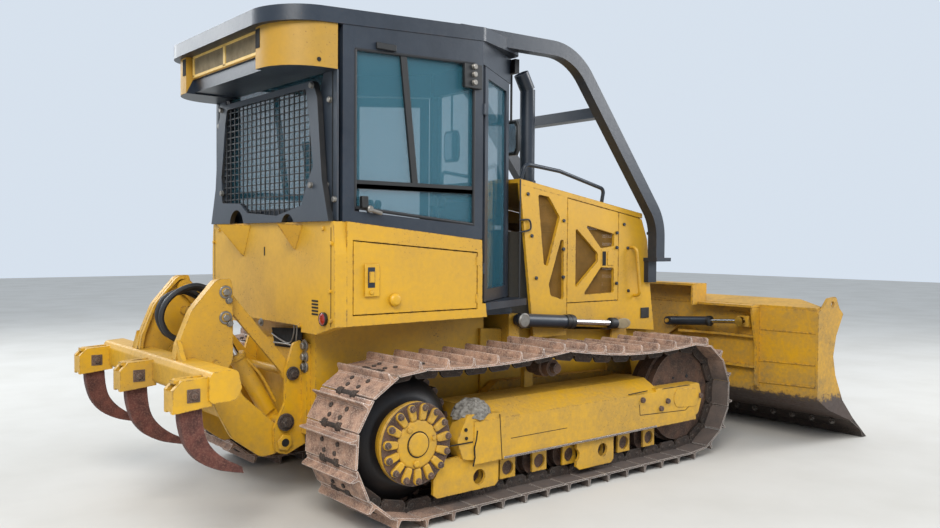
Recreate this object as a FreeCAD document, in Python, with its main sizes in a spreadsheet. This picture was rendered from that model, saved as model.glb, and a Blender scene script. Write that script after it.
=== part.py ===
import FreeCAD, Part
import math
import os
import Sketcher

# Small crawler dozer: power angle and tilt blade on a C-frame, closed cab with limb risers, rear screen and
# a three shank parallelogram ripper. Millimetres, +X forwards, +Y to the left, +Z up. Sizes are measured from
# the sprocket's axis along X, from the middle along Y and from the ground along Z. Each sub-part is a compound
# that is moved back by row_centre, so that the finished model stands on its own middle.

SIZES = {
    # Tracks and their frames
    "gauge": 1585, "shoe_width": 485, "shoe_count": 40, "track_base": 2260,
    "sprocket_height": 426, "sprocket_pin_radius": 359.4, "idler_height": 412, "idler_pin_radius": 345,
    "carrier_reach": 1066, "carrier_height": 698, "carrier_radius": 70,
    "front_sag": 43, "rear_sag": 25, "track_phase": 60,
    "shoe_inner": 8, "shoe_outer": 20, "grouser_tip": 66, "grouser_foot": 24, "grouser_edge": 10,
    "rail_depth": 32, "rail_dip": 5, "rail_inner": 44, "rail_thick": 42,
    "roller_count": 7, "roller_first": 430, "roller_last": 1885, "roller_radius": 85, "roller_flange": 12,
    "sprocket_teeth": 27, "sprocket_tip_radius": 346, "sprocket_root_radius": 320, "sprocket_thick": 50,
    "sprocket_bore": 185, "hub_radius": 208, "hub_face": 1003, "hub_petals": 15, "petal_ring": 158,
    "petal_radius": 30, "drive_radius": 180, "drive_flange": 228,
    "idler_shaft": 45,
    "frame_outer": 1003, "frame_crease": 487, "frame_top": 560, "frame_bottom": 292, "frame_skirt": 262,
    "frame_inner": 622, "frame_top_outer": 872, "frame_rear": 374, "frame_fork": 1905, "frame_front": 2346,
    # Main frame, engine and hood
    "case_half": 400, "rail_half": 420, "case_rear": 230, "case_top": 985, "case_bottom": 400,
    "hood_half": 473, "hood_rear": 1172, "hood_front": 2500, "hood_rear_top": 1830, "hood_front_top": 1640,
    "hood_low": 1035, "hood_skirt": 34, "door_rear": 1600, "door_front": 2100, "door_gap": 6, "panel_thick": 22,
    "stack_radius": 50, "stack_reach": 1437, "stack_side": 250,
    # Rear body, cab and roof
    "body_half": 750, "body_rear": 320, "body_top": 1531, "body_front_top": 1443, "body_low": 1003,
    "tank_front": -250, "fender_front": 650, "fender_inner": 430,
    "cab_rear": 270, "pillar_front": 640, "door_front_reach": 1120, "door_front_half": 410,
    "window_top": 2396, "window_climb": 0.0374, "post_top": 2640,
    "roof_half": 745, "roof_rear": 640, "roof_front": 1150, "roof_low": 2508, "roof_climb": 0.0567, "roof_thick": 76,
    "screen_uprights": 19, "screen_levels": 17, "riser_side": 550, "riser_wide": 76,
    # Blade group
    "trunnion_reach": 950, "trunnion_height": 500, "trunnion_radius": 40,
    "arm_inner": 440, "arm_outer": 505, "cross_rear": 2700, "cross_front": 2880, "cross_low": 300,
    "kingpin_reach": 3020, "kingpin_radius": 22, "blade_back": 3135, "blade_half": 1390, "blade_tip": 3850,
    "blade_top": 985, "tilt_height": 470, "tilt_pin_radius": 50,
    "lift_side": 519, "lift_pin_reach": 1130, "lift_pin_height": 948, "lift_eye_reach": 2095,
    "lift_eye_height": 873, "lift_radius": 42, "lift_barrel": 470, "lift_push": 80, "lift_pull": 150,
    "angle_pin_reach": 2600, "angle_pin_side": 340, "angle_height": 640, "angle_eye_reach": 3080,
    "angle_eye_side": 290, "angle_radius": 38, "angle_barrel": 313, "angle_push": 124, "angle_pull": 128,
    "tilt_plane": 3035, "tilt_pin_side": 190, "tilt_pin_height": 820, "tilt_eye_side": 834,
    "tilt_eye_height": 860, "tilt_radius": 34, "tilt_barrel": 400, "tilt_push": 50, "tilt_pull": 50,
    # Ripper
    "ripper_rear": 1135, "link_low_reach": -360, "link_low_height": 355, "link_up_reach": -310,
    "link_up_height": 720, "link_back": 380, "link_rise": 450, "ripper_pin_radius": 22,
    "ripper_cyl_reach": -352, "ripper_cyl_height": 462, "ripper_eye_reach": -690, "ripper_eye_height": 1040,
    "ripper_cyl_side": 130, "ripper_cyl_radius": 45, "ripper_barrel": 415, "ripper_push": 10, "ripper_pull": 185,
    "shank_spread": 715, "shank_thick": 50, "pocket_wall": 28,
    "mount_inner": 262, "mount_outer": 286, "tower_outer": 298, "link_inner": 230, "link_outer": 254,
    "beam_half": 780, "beam_rear": 975, "beam_front": 820, "beam_low": 700, "beam_top": 850,
    # Fits
    "pin_gap": 0.3, "rod_reserve": 30,
}

doc = FreeCAD.newDocument("Dozer")
sheet = doc.addObject("Spreadsheet::Sheet", "Sizes")
for row, (alias, number) in enumerate(SIZES.items(), 1):
    sheet.set(f"A{row}", alias)
    sheet.set(f"B{row}", str(number))
    sheet.setAlias(f"B{row}", alias)
doc.recompute()


class Size:
    """A length that knows its number and the sheet expression that gives it."""

    def __init__(self, number, text):
        self.number = number
        self.text = text

    def join(self, other, sign, number):
        return Size(number, f"({self.text} {sign} {other.text})")

    def __add__(self, other):
        other = size(other)
        return self.join(other, "+", self.number + other.number)

    def __sub__(self, other):
        other = size(other)
        return self.join(other, "-", self.number - other.number)

    def __mul__(self, other):
        other = size(other)
        return self.join(other, "*", self.number * other.number)

    def __truediv__(self, other):
        other = size(other)
        return self.join(other, "/", self.number / other.number)

    def __radd__(self, other):
        return size(other) + self

    def __rsub__(self, other):
        return size(other) - self

    def __rmul__(self, other):
        return size(other) * self

    def __neg__(self):
        return size(0) - self


def size(value):
    if isinstance(value, Size):
        return value
    return Size(float(value), repr(float(value)))


def root_of_squares(values):
    total = sum(value * value for value in values)
    return Size(math.sqrt(total.number), f"sqrt({total.text})")


S = {alias: Size(float(number), f"Sizes.{alias}") for alias, number in SIZES.items()}
N = {alias: float(number) for alias, number in SIZES.items()}
row_centre = (S["blade_tip"] - S["ripper_rear"]) / 2
NODES = []


# Drawing and building helpers

def fix_point(sketch, geometry, position, u, v):
    for kind, value in (("DistanceX", u), ("DistanceY", v)):
        rule = Sketcher.Constraint(kind, -1, 1, geometry, position, value.number)
        index = sketch.addConstraint(rule)
        sketch.setExpression(f"Constraints[{index}]", value.text)


def corner_ends(corners, i):
    """Where the two straight edges stop short of a corner, and the middle of the arc that rounds it."""
    here, before, after = (FreeCAD.Vector(corners[k % len(corners)][0].number, corners[k % len(corners)][1].number, 0)
                           for k in (i, i - 1, i + 1))
    if len(corners[i]) == 2:
        return here, here, None
    radius = corners[i][2].number
    back = (before - here).normalize()
    ahead = (after - here).normalize()
    half = back.getAngle(ahead) / 2
    middle = here + (back + ahead).normalize() * (radius / math.sin(half))
    reach = radius / math.tan(half)
    return here + back * reach, here + ahead * reach, middle


def round_corner(sketch, corner, ends, incoming, outgoing):
    first, last, middle = ends
    turn = (first - middle).cross(last - middle).z
    angles = [math.atan2((p - middle).y, (p - middle).x) for p in (first, last)]
    if turn < 0:
        angles.reverse()
    circle = Part.Circle(middle, FreeCAD.Vector(0, 0, 1), corner[2].number)
    arc = sketch.addGeometry(Part.ArcOfCircle(circle, *angles), False)
    near, far = (1, 2) if turn > 0 else (2, 1)
    sketch.addConstraint(Sketcher.Constraint("Tangent", incoming, 2, arc, near))
    sketch.addConstraint(Sketcher.Constraint("Tangent", arc, far, outgoing, 1))
    index = sketch.addConstraint(Sketcher.Constraint("Radius", arc, corner[2].number))
    sketch.setExpression(f"Constraints[{index}]", corner[2].text)
    point = sketch.addGeometry(Part.Point(FreeCAD.Vector(corner[0].number, corner[1].number, 0)), True)
    sketch.addConstraint(Sketcher.Constraint("PointOnObject", point, 1, incoming))
    sketch.addConstraint(Sketcher.Constraint("PointOnObject", point, 1, outgoing))
    fix_point(sketch, point, 1, corner[0], corner[1])


def draw(sketch, outline):
    """Closed outline. Each corner is (u, v), or (u, v, radius) where an arc rounds it."""
    corners = [tuple(size(value) for value in corner) for corner in outline]
    ends = [corner_ends(corners, i) for i in range(len(corners))]
    lines = []
    for i in range(len(corners)):
        edge = Part.LineSegment(ends[i][1], ends[(i + 1) % len(corners)][0])
        lines.append(sketch.addGeometry(edge, False))
    for i, corner in enumerate(corners):
        if len(corner) == 3:
            round_corner(sketch, corner, ends[i], lines[i - 1], lines[i])
            continue
        sketch.addConstraint(Sketcher.Constraint("Coincident", lines[i - 1], 2, lines[i], 1))
        fix_point(sketch, lines[i], 1, corner[0], corner[1])


def ring(sketch, u, v, radius):
    u, v, radius = size(u), size(v), size(radius)
    centre = FreeCAD.Vector(u.number, v.number, 0)
    circle = sketch.addGeometry(Part.Circle(centre, FreeCAD.Vector(0, 0, 1), radius.number), False)
    fix_point(sketch, circle, 3, u, v)
    index = sketch.addConstraint(Sketcher.Constraint("Radius", circle, radius.number))
    sketch.setExpression(f"Constraints[{index}]", radius.text)


def sketch_on(name, role, offset):
    body = doc.addObject("PartDesign::Body", name)
    sketch = body.newObject("Sketcher::SketchObject", name + "_outline")
    plane = [item for item in body.Origin.OriginFeatures if item.Role == role][0]
    sketch.AttachmentSupport = (plane, [""])
    sketch.MapMode = "FlatFace"
    sketch.setExpression("AttachmentOffset.Base.z", size(offset).text)
    return body, sketch


def pad(name, role, offset, depth, outline, holes, rings):
    body, sketch = sketch_on(name, role, offset)
    for loop in [outline, *holes]:
        if loop:
            draw(sketch, loop)
    for circle in rings:
        ring(sketch, *circle)
    feature = body.newObject("PartDesign::Pad", name + "_pad")
    feature.Profile = sketch
    feature.setExpression("Length", size(depth).text)
    return body


def side_plate(name, low, high, outline, holes=(), rings=()):
    """Outline in (x, z), from y = low to y = high."""
    return pad(name, "XZ_Plane", -size(high), size(high) - low, outline, holes, rings)


def cross_plate(name, low, high, outline, holes=(), rings=()):
    """Outline in (y, z), from x = low to x = high."""
    return pad(name, "YZ_Plane", size(low), size(high) - low, outline, holes, rings)


def flat_plate(name, low, high, outline, holes=(), rings=()):
    """Outline in (x, y), from z = low to z = high."""
    return pad(name, "XY_Plane", size(low), size(high) - low, outline, holes, rings)


def block(name, x, y, z):
    item = doc.addObject("Part::Box", name)
    for side, axis, (low, high) in zip(("Length", "Width", "Height"), "xyz", (x, y, z)):
        item.setExpression(side, (size(high) - low).text)
        item.setExpression(f"Placement.Base.{axis}", size(low).text)
    return item


def shaft(name, start, stop, radius):
    """Round bar from one point to another."""
    start = [size(value) for value in start]
    stop = [size(value) for value in stop]
    item = doc.addObject("Part::Cylinder", name)
    item.setExpression("Radius", size(radius).text)
    item.setExpression("Height", root_of_squares([b - a for a, b in zip(start, stop)]).text)
    along = FreeCAD.Vector(*[b.number - a.number for a, b in zip(start, stop)])
    turn = FreeCAD.Rotation(FreeCAD.Vector(0, 0, 1), along)
    item.Placement = FreeCAD.Placement(FreeCAD.Vector(*[a.number for a in start]), turn)
    for axis, value in zip("xyz", start):
        item.setExpression(f"Placement.Base.{axis}", value.text)
    return item


def turned(name, profile, centre):
    """Profile in (radius, y) turned about a cross shaft through centre (x, z)."""
    body, sketch = sketch_on(name, "XY_Plane", centre[1])
    draw(sketch, [(size(centre[0]) + radius, y) for radius, y in profile])
    feature = body.newObject("PartDesign::Revolution", name + "_turn")
    feature.Profile = sketch
    axis = sketch.addGeometry(Part.LineSegment(FreeCAD.Vector(size(centre[0]).number, -10, 0),
                                               FreeCAD.Vector(size(centre[0]).number, 10, 0)), True)
    for end, value in ((1, -10), (2, 10)):
        fix_point(sketch, axis, end, size(centre[0]), size(value))
    feature.ReferenceAxis = (sketch, ["Axis0"])
    feature.Angle = 360
    return body


def fuse(name, pieces):
    item = doc.addObject("Part::MultiFuse", name)
    item.Shapes = pieces
    return item


def cut(name, base, tools):
    tool = tools[0] if len(tools) == 1 else fuse(name + "_tools", tools)
    item = doc.addObject("Part::Cut", name)
    item.Base = base
    item.Tool = tool
    return item


def common(name, base, tool):
    """What two solids share."""
    item = doc.addObject("Part::Common", name)
    item.Base = base
    item.Tool = tool
    return item


def mirror(name, source):
    item = doc.addObject("Part::Mirroring", name)
    item.Source = source
    item.Normal = FreeCAD.Vector(0, 1, 0)
    return item


def formed(name, shape):
    item = doc.addObject("Part::Feature", name)
    item.Shape = shape
    return item


def node(name, pieces):
    """A finished sub-part, moved from the sprocket's axis to the middle of the machine."""
    item = doc.addObject("Part::Compound", name + "_node")
    item.Label = name
    item.Links = pieces
    item.setExpression("Placement.Base.x", (-row_centre).text)
    NODES.append(item)
    return item


def both_sides(name, left):
    """Two nodes from one left-hand piece: the left as drawn and the right as its mirror image."""
    node(name + "_left", [left])
    node(name + "_right", [mirror(name + "_turned_over", left)])


def pair(name, left):
    """One node that holds a left-hand piece and its mirror image."""
    node(name, [left, mirror(name + "_turned_over", left)])


# Track loop: pins at equal steps on the chain's path, and a straight shoe from each pin to the next

def chain_path():
    """Pin line in (x, z): forwards along the ground, up round the idler, back over the carrier roller."""
    points = []
    steps = 60
    back, front = N["sprocket_pin_radius"], N["idler_pin_radius"]
    for i in range(steps):
        points.append((N["track_base"] * i / steps,
                       N["sprocket_height"] - back + (N["idler_height"] - front - N["sprocket_height"] + back) * i / steps))
    for i in range(steps):
        angle = math.pi * (i / steps - 0.5)
        points.append((N["track_base"] + front * math.cos(angle), N["idler_height"] + front * math.sin(angle)))
    carrier = (N["carrier_reach"], N["carrier_height"] + N["carrier_radius"] + N["rail_depth"])
    spans = [((N["track_base"], N["idler_height"] + front), carrier, N["front_sag"]),
             (carrier, (0.0, N["sprocket_height"] + back), N["rear_sag"])]
    for (x0, z0), (x1, z1), sag in spans:
        for i in range(steps):
            part = i / steps
            points.append((x0 + (x1 - x0) * part, z0 + (z1 - z0) * part - 4 * sag * part * (1 - part)))
    for i in range(steps):
        angle = math.pi * (0.5 + i / steps)
        points.append((back * math.cos(angle), N["sprocket_height"] + back * math.sin(angle)))
    return points


def equal_steps(points, count, phase):
    reach = [0.0]
    closed = points + points[:1]
    for a, b in zip(closed, closed[1:]):
        reach.append(reach[-1] + math.dist(a, b))
    pins = []
    place = 0
    for k in range(count):
        target = (phase + reach[-1] * k / count) % reach[-1]
        place = next(i for i in range(len(points)) if reach[i] <= target <= reach[i + 1])
        part = (target - reach[place]) / (reach[place + 1] - reach[place])
        a, b = closed[place], closed[place + 1]
        pins.append((a[0] + (b[0] - a[0]) * part, a[1] + (b[1] - a[1]) * part))
    return pins


def chain_outline(pins, section):
    """Joins the points of one link's section, given as (share of the half link, shift, height), round the chain."""
    outline = []
    for a, b in zip(pins, pins[1:] + pins[:1]):
        along = FreeCAD.Vector(b[0] - a[0], 0, b[1] - a[1])
        half = along.Length / 2
        along.normalize()
        out = FreeCAD.Vector(along.z, 0, -along.x)
        middle = FreeCAD.Vector((a[0] + b[0]) / 2, 0, (a[1] + b[1]) / 2)
        outline += [middle + along * (share * half + shift) + out * height for share, shift, height in section]
    return outline


def loop_band(outer, inner, low, high):
    faces = [Part.Face(Part.makePolygon(line + line[:1])) for line in (outer, inner)]
    band = faces[0].cut(faces[1])
    band.translate(FreeCAD.Vector(0, low, 0))
    return band.extrude(FreeCAD.Vector(0, high - low, 0))


def track_loop():
    pins = equal_steps(chain_path(), int(N["shoe_count"]), N["track_phase"])
    tip, outer, inner = N["grouser_tip"], N["shoe_outer"], N["shoe_inner"]
    foot, edge = N["grouser_foot"], N["grouser_edge"]
    shoes = chain_outline(pins, [(-1, 3, outer), (1, -foot - edge, outer), (1, -foot + 4, tip),
                                 (1, -edge - 6, tip), (1, -edge, outer)])
    inside = chain_outline(pins, [(-0.9, 0, inner), (0.9, 0, inner)])
    middle = N["gauge"] / 2
    belt = loop_band(shoes, inside, middle - N["shoe_width"] / 2, middle + N["shoe_width"] / 2)
    seat = chain_outline(pins, [(-0.9, 0, inner + 6), (0.9, 0, inner + 6)])
    tread = chain_outline(pins, [(-1, 0, N["rail_dip"] - N["rail_depth"]), (-0.62, 0, -N["rail_depth"]),
                                 (0.62, 0, -N["rail_depth"])])
    rails = [loop_band(seat, tread, *span) for span in (
        (middle + N["rail_inner"], middle + N["rail_inner"] + N["rail_thick"]),
        (middle - N["rail_inner"] - N["rail_thick"], middle - N["rail_inner"]))]
    return belt.multiFuse(rails)


loop_left = formed("loop_left", track_loop())
both_sides("track", loop_left)


# Sprockets, final drives, idlers and rollers

def sprocket_outline():
    """Tooth corners in (x, z) round the sprocket's axis."""
    points = []
    teeth = int(N["sprocket_teeth"])
    for k in range(teeth):
        for share, radius in ((-0.34, "sprocket_root_radius"), (-0.16, "sprocket_tip_radius"),
                              (0.16, "sprocket_tip_radius"), (0.34, "sprocket_root_radius")):
            angle = 2 * math.pi * (k + share) / teeth
            points.append(FreeCAD.Vector(N[radius] * math.cos(angle), 0,
                                         N["sprocket_height"] + N[radius] * math.sin(angle)))
    return points


def sprocket_wheel():
    points = sprocket_outline()
    face = Part.Face(Part.makePolygon(points + points[:1]))
    face.translate(FreeCAD.Vector(0, (N["gauge"] - N["sprocket_thick"]) / 2, 0))
    wheel = face.extrude(FreeCAD.Vector(0, N["sprocket_thick"], 0))
    start = FreeCAD.Vector(0, 0, N["sprocket_height"])
    return wheel.cut(Part.makeCylinder(N["sprocket_bore"], 2 * N["gauge"], start, FreeCAD.Vector(0, 1, 0)))


pair("sprockets", formed("sprocket_wheel", sprocket_wheel()))

disc_near = (S["gauge"] - S["sprocket_thick"]) / 2 - S["pin_gap"]
hub_start = S["case_half"] + S["pin_gap"]
hub_profile = [(0, hub_start), (S["drive_radius"], hub_start), (S["drive_radius"], disc_near - 22),
               (S["drive_flange"], disc_near - 22), (S["drive_flange"], disc_near),
               (S["sprocket_bore"] - S["pin_gap"], disc_near),
               (S["sprocket_bore"] - S["pin_gap"], S["hub_face"] - 60), (S["hub_radius"], S["hub_face"] - 40),
               (S["hub_radius"], S["hub_face"] - 22), (S["hub_radius"] - 10, S["hub_face"] - 14),
               (118, S["hub_face"] - 14), (112, S["hub_face"]), (70, S["hub_face"]), (60, S["hub_face"] + 8),
               (0, S["hub_face"] + 8)]
hub_petals = []
for k in range(int(N["hub_petals"])):
    turn = 2 * math.pi * k / N["hub_petals"]
    petal = (S["petal_ring"] * math.cos(turn), S["sprocket_height"] + S["petal_ring"] * math.sin(turn))
    hub_petals.append(shaft(f"hub_petal_{k}", (petal[0], S["hub_face"] - 20, petal[1]),
                            (petal[0], S["hub_face"] - 1, petal[1]), S["petal_radius"]))
pair("final_drives", fuse("final_drive_body", [
    turned("final_drive", hub_profile, (0, S["sprocket_height"])), *hub_petals]))

middle = S["gauge"] / 2
tread_in = S["rail_inner"] - 4
tread_out = S["rail_inner"] + S["rail_thick"] + 4


def spool(name, radius, flange, shaft_radius, reach, centre):
    """A roller that runs on both rails, with a middle flange between them and a shaft that stands out."""
    profile = [(0, middle - reach), (shaft_radius, middle - reach), (shaft_radius, middle - tread_out),
               (radius, middle - tread_out), (radius, middle - tread_in), (radius + flange, middle - tread_in + 4),
               (radius + flange, middle + tread_in - 4), (radius, middle + tread_in), (radius, middle + tread_out),
               (shaft_radius, middle + tread_out), (shaft_radius, middle + reach), (0, middle + reach)]
    return turned(name, profile, centre)


ground_pins = S["sprocket_height"] - S["sprocket_pin_radius"]
roller_height = ground_pins + S["rail_depth"] + S["roller_radius"] + S["pin_gap"]
roller_step = (S["roller_last"] - S["roller_first"]) / (S["roller_count"] - 1)
rollers = [spool(f"roller_{k}", S["roller_radius"], S["roller_flange"], size(40), size(128),
                 (S["roller_first"] + roller_step * k, roller_height)) for k in range(int(N["roller_count"]))]
node("track_rollers", rollers + [mirror(item.Name + "_turned_over", item) for item in rollers])

carrier = spool("carrier", S["carrier_radius"] - 20, size(8), size(30), size(128),
                (S["carrier_reach"], S["carrier_height"]))
pair("carrier_rollers", carrier)

idler_tread = S["idler_pin_radius"] * math.cos(math.pi / 13) - S["rail_depth"] - 3
idler = spool("idler", idler_tread, size(16), S["idler_shaft"], size(160), (S["track_base"], S["idler_height"]))
pair("idlers", idler)


# Track frames: a box with a sloping top, a fork round the idler, and brackets down to the rollers

box_section = [(S["frame_inner"], S["frame_bottom"]), (S["frame_outer"], S["frame_bottom"]),
               (S["frame_outer"], S["frame_crease"]), (S["frame_top_outer"], S["frame_top"]),
               (S["frame_inner"] + 40, S["frame_top"]), (S["frame_inner"], S["frame_top"] - 40)]
frame_box = cross_plate("track_frame_box", S["frame_rear"], S["frame_fork"], box_section)
fork_outer = side_plate("track_fork_outer", middle + 122, S["frame_outer"], [
    (S["frame_fork"] - 40, S["frame_bottom"]), (S["frame_front"] - 40, S["frame_bottom"], 30),
    (S["frame_front"], S["frame_bottom"] + 110, 60), (S["frame_front"] - 30, S["frame_crease"] + 16, 20),
    (S["frame_fork"] - 40, S["frame_crease"] + 20)])
fork_inner = side_plate("track_fork_inner", S["frame_inner"], middle - 122, [
    (S["frame_fork"] - 40, S["frame_bottom"]), (S["frame_front"] - 40, S["frame_bottom"], 30),
    (S["frame_front"], S["frame_bottom"] + 110, 60), (S["frame_front"] - 30, S["frame_crease"] + 16, 20),
    (S["frame_fork"] - 40, S["frame_top"])])
axle_seat = shaft("idler_axle_seat", (S["track_base"], 0, S["idler_height"]),
                  (S["track_base"], S["gauge"], S["idler_height"]), S["idler_shaft"] + S["pin_gap"])
skirt = side_plate("track_skirt", S["frame_outer"] - 16, S["frame_outer"], [
    (S["frame_rear"], S["frame_skirt"]), (S["frame_front"] - 60, S["frame_skirt"]),
    (S["frame_front"] - 60, S["frame_bottom"] + 30), (S["frame_rear"], S["frame_bottom"] + 30)])
brackets = []
for k in range(int(N["roller_count"])):
    reach = S["roller_first"] + roller_step * k
    for sign in (-1, 1):
        near = middle + sign * 128 - 2
        hanger = block(f"hanger_{k}_{sign + 1}", (reach - 56, reach + 56),
                       (near, near + 14), (roller_height - 56, S["frame_bottom"] + 10))
        brackets.append(hanger)
bores = [shaft(f"roller_seat_{k}", (S["roller_first"] + roller_step * k, 0, roller_height),
               (S["roller_first"] + roller_step * k, S["gauge"], roller_height), 40 + S["pin_gap"])
         for k in range(int(N["roller_count"]))]
post = block("carrier_post", (S["carrier_reach"] - 35, S["carrier_reach"] + 35),
             (middle - 150, middle - 116), (S["frame_top"] - 20, S["carrier_height"] + 34))
carrier_seat = shaft("carrier_seat", (S["carrier_reach"], 0, S["carrier_height"]),
                     (S["carrier_reach"], S["gauge"], S["carrier_height"]), 30 + S["pin_gap"])
guard_outlines = ([(200, 312), (125, 215), (125, 138), (150, 118), (540, 118), (565, 138), (565, 312)],
                  [(1174, 312), (1174, 115), (1199, 95), (1473, 95), (1498, 115), (1498, 312)])
guards = [side_plate(f"roller_guard_{k}", S["frame_outer"] - 44, S["frame_outer"] - 26, outline)
          for k, outline in enumerate(guard_outlines)]
rear_cover = side_plate("track_rear_cover", S["frame_outer"] - 100, S["frame_outer"] - 4, [
    (300, 300, 20), (S["frame_rear"] + 60, S["frame_skirt"] + 10), (S["frame_rear"] + 190, S["frame_skirt"] + 10),
    (S["frame_rear"] + 190, 515), (330, 530, 30), (262, 400, 30)])
frame_body = cut("track_frame_body", fuse("track_frame_solid", [
    frame_box, fork_outer, fork_inner, skirt, post, rear_cover, *guards, *brackets]), [axle_seat, carrier_seat, *bores])
pair("track_frames", frame_body)


# Main frame with its cross members, belly and trunnions

case = side_plate("rear_case", -S["case_half"], S["case_half"], [
    (-S["case_rear"], S["case_bottom"] + 60), (-S["case_rear"] + 90, S["case_bottom"] - 20),
    (520, S["case_bottom"] - 40), (940, S["case_bottom"]), (940, S["case_top"]), (-S["case_rear"], S["case_top"])])
rail_outline = [(900, 450), (S["hood_front"] - 60, 450), (S["hood_front"] - 20, 520), (S["hood_front"] - 20, 800),
                (900, 900)]
frame_rail = side_plate("frame_rail", S["rail_half"] - 60, S["rail_half"], rail_outline)
frame_rail_right = mirror("frame_rail_right", frame_rail)
belly = flat_plate("belly", 450, 474, [(900, -S["rail_half"]), (S["hood_front"] - 60, -S["rail_half"]),
                                       (S["hood_front"] - 60, S["rail_half"]), (900, S["rail_half"])])
nose_member = block("nose_member", (S["hood_front"] - 90, S["hood_front"] - 20), (-S["rail_half"], S["rail_half"]),
                    (460, 800))
cross_rear = block("cross_member_rear", (390, 520), (-S["frame_inner"] + 0.3, S["frame_inner"] - 0.3), (365, 480))
cross_front = block("cross_member_front", (1180, 1320), (-S["frame_inner"] + 0.3, S["frame_inner"] - 0.3), (296, 352))
stem = block("cross_member_stem", (1190, 1310), (-300, 300), (340, 449.7))
node("equalizer_bar", [fuse("equalizer_bar_body", [cross_front, stem])])
trunnions = shaft("trunnions", (S["trunnion_reach"], -S["arm_outer"] - 6, S["trunnion_height"]),
                  (S["trunnion_reach"], S["arm_outer"] + 6, S["trunnion_height"]), S["trunnion_radius"])
lift_pins = shaft("lift_pins", (S["lift_pin_reach"], -S["lift_side"] - 24, S["lift_pin_height"]),
                  (S["lift_pin_reach"], S["lift_side"] + 24, S["lift_pin_height"]), 20)
lift_ears = block("lift_pin_seat", (S["lift_pin_reach"] - 60, S["lift_pin_reach"] + 30),
                  (-S["lift_side"] + 30, S["lift_side"] - 30), (800, S["case_top"] - 1))
main_frame = fuse("main_frame_solid", [case, frame_rail, frame_rail_right, belly, nose_member, cross_rear,
                                       trunnions, lift_pins, lift_ears])
node("main_frame", [main_frame])


# Engine, radiator guard, grille and hood

engine = block("engine", (1240, 2130), (-300, 300), (474.3, 1500))
node("engine_block", [engine])

hood_slope = (S["hood_rear_top"] - S["hood_front_top"]) / (S["hood_front"] - 145 - S["hood_rear"])


def hood_line(x):
    """Height of the hood's top edge at x."""
    return S["hood_rear_top"] - (size(x) - S["hood_rear"]) * hood_slope


hood_sheet = side_plate("hood_sheet", -S["hood_half"], S["hood_half"], [
    (S["hood_rear"], hood_line(S["hood_rear"]) - S["hood_skirt"]), (S["hood_rear"], hood_line(S["hood_rear"])),
    (S["hood_front"] - 145, hood_line(S["hood_front"] - 145)),
    (S["hood_front"] - 145, hood_line(S["hood_front"] - 145) - S["hood_skirt"])])
hood_hollow = side_plate("hood_hollow", -S["hood_half"] + S["panel_thick"], S["hood_half"] - S["panel_thick"], [
    (S["hood_rear"] - 10, hood_line(S["hood_rear"]) - 80), (S["hood_rear"] - 10, hood_line(S["hood_rear"]) - 24),
    (S["hood_front"] - 100, hood_line(S["hood_front"] - 100) - 24),
    (S["hood_front"] - 100, hood_line(S["hood_front"] - 100) - 80)])
node("hood_top", [cut("hood_top_shell", hood_sheet, [hood_hollow])])


def hood_side(name, start, stop, windows, low, gap, lean=0):
    """A side panel a gap under the hood's edge, from x = start to x = stop, with its mesh windows cut."""
    drop = S["hood_skirt"] + gap
    return side_plate(name, S["hood_half"] - S["panel_thick"], S["hood_half"], [
        (start + lean, low), (stop, low), (stop, hood_line(stop) - drop), (start, hood_line(start) - drop)],
        holes=windows)


corner_windows = [[(1328, 1738, 15), (1424, 1726, 15), (1526, 1597, 20), (1418, 1275, 12), (1384, 1290, 12)],
                  [(1537, 1450, 12), (1563, 1446, 10), (1566, 1053, 15), (1445, 1088, 20), (1431, 1162, 25)]]
pair("hood_corners", hood_side("hood_corner_panel", S["hood_rear"], S["door_rear"] - S["door_gap"],
                               corner_windows, size(820), S["pin_gap"], size(125)))
door_windows = [[(1676, 1530, 10), (1894, 1358, 18), (1894, 1306, 18), (1676, 1126, 10)],
                [(1762, 1552, 10), (2058, 1492, 12), (2058, 1408, 12), (1926, 1392, 15)],
                [(1922, 1262, 12), (2058, 1256, 12), (2058, 1087, 12), (1750, 1080, 12)]]
engine_panel = hood_side("engine_door_panel", S["door_rear"], S["door_front"], door_windows, S["hood_low"],
                         S["door_gap"])


def knuckles(name, x, y, spans, radius):
    """Short upright hinge barrels on a door's pin line."""
    return [shaft(f"{name}_{k}", (x, y, low), (x, y, high), radius) for k, (low, high) in enumerate(spans)]


both_sides("engine_door", fuse("engine_door_body", [engine_panel, *knuckles(
    "engine_door_hinge", S["door_rear"], S["hood_half"], ((1120, 1180), (1560, 1620)), S["door_gap"] - S["pin_gap"])]))
cheek_top = hood_line(S["door_front"] + S["door_gap"]) - S["hood_skirt"] - S["door_gap"]
cheek = side_plate("hood_cheek_panel", S["hood_half"] - S["panel_thick"], S["hood_half"], [
    (S["door_front"] + S["door_gap"], S["hood_low"]), (S["door_front"] + S["door_gap"], cheek_top),
    (S["hood_front"] - 151, hood_line(S["hood_front"] - 145) - S["hood_skirt"] - S["door_gap"]), (2413, 1452), (2454, 1092),
    (S["hood_front"], 801), (S["door_rear"], 880), (S["door_rear"], S["hood_low"] - S["door_gap"]),
    (S["door_front"] + S["door_gap"], S["hood_low"] - S["door_gap"])])
pair("hood_cheeks", cheek)

grille_outline = [(S["hood_front"] - 145, hood_line(S["hood_front"] - 145) - 24.3), (2413, 1452), (2454, 1092),
                  (S["hood_front"], 801)]
nose_back = [(x - 30, z) for x, z in reversed(grille_outline)]
nose_half = S["hood_half"] - S["panel_thick"] - S["pin_gap"]
nose_frame = side_plate("nose_frame", -nose_half, nose_half, grille_outline + nose_back)
grille_hole = block("grille_hole", (2200, 2600), (-S["hood_half"] + 74, S["hood_half"] - 74), (880, 1560))
node("radiator_guard", [cut("radiator_guard_frame", nose_frame, [grille_hole])])
grille_edge = S["hood_half"] - 74.3
grille_step = (1552 - 888) / 11


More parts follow.
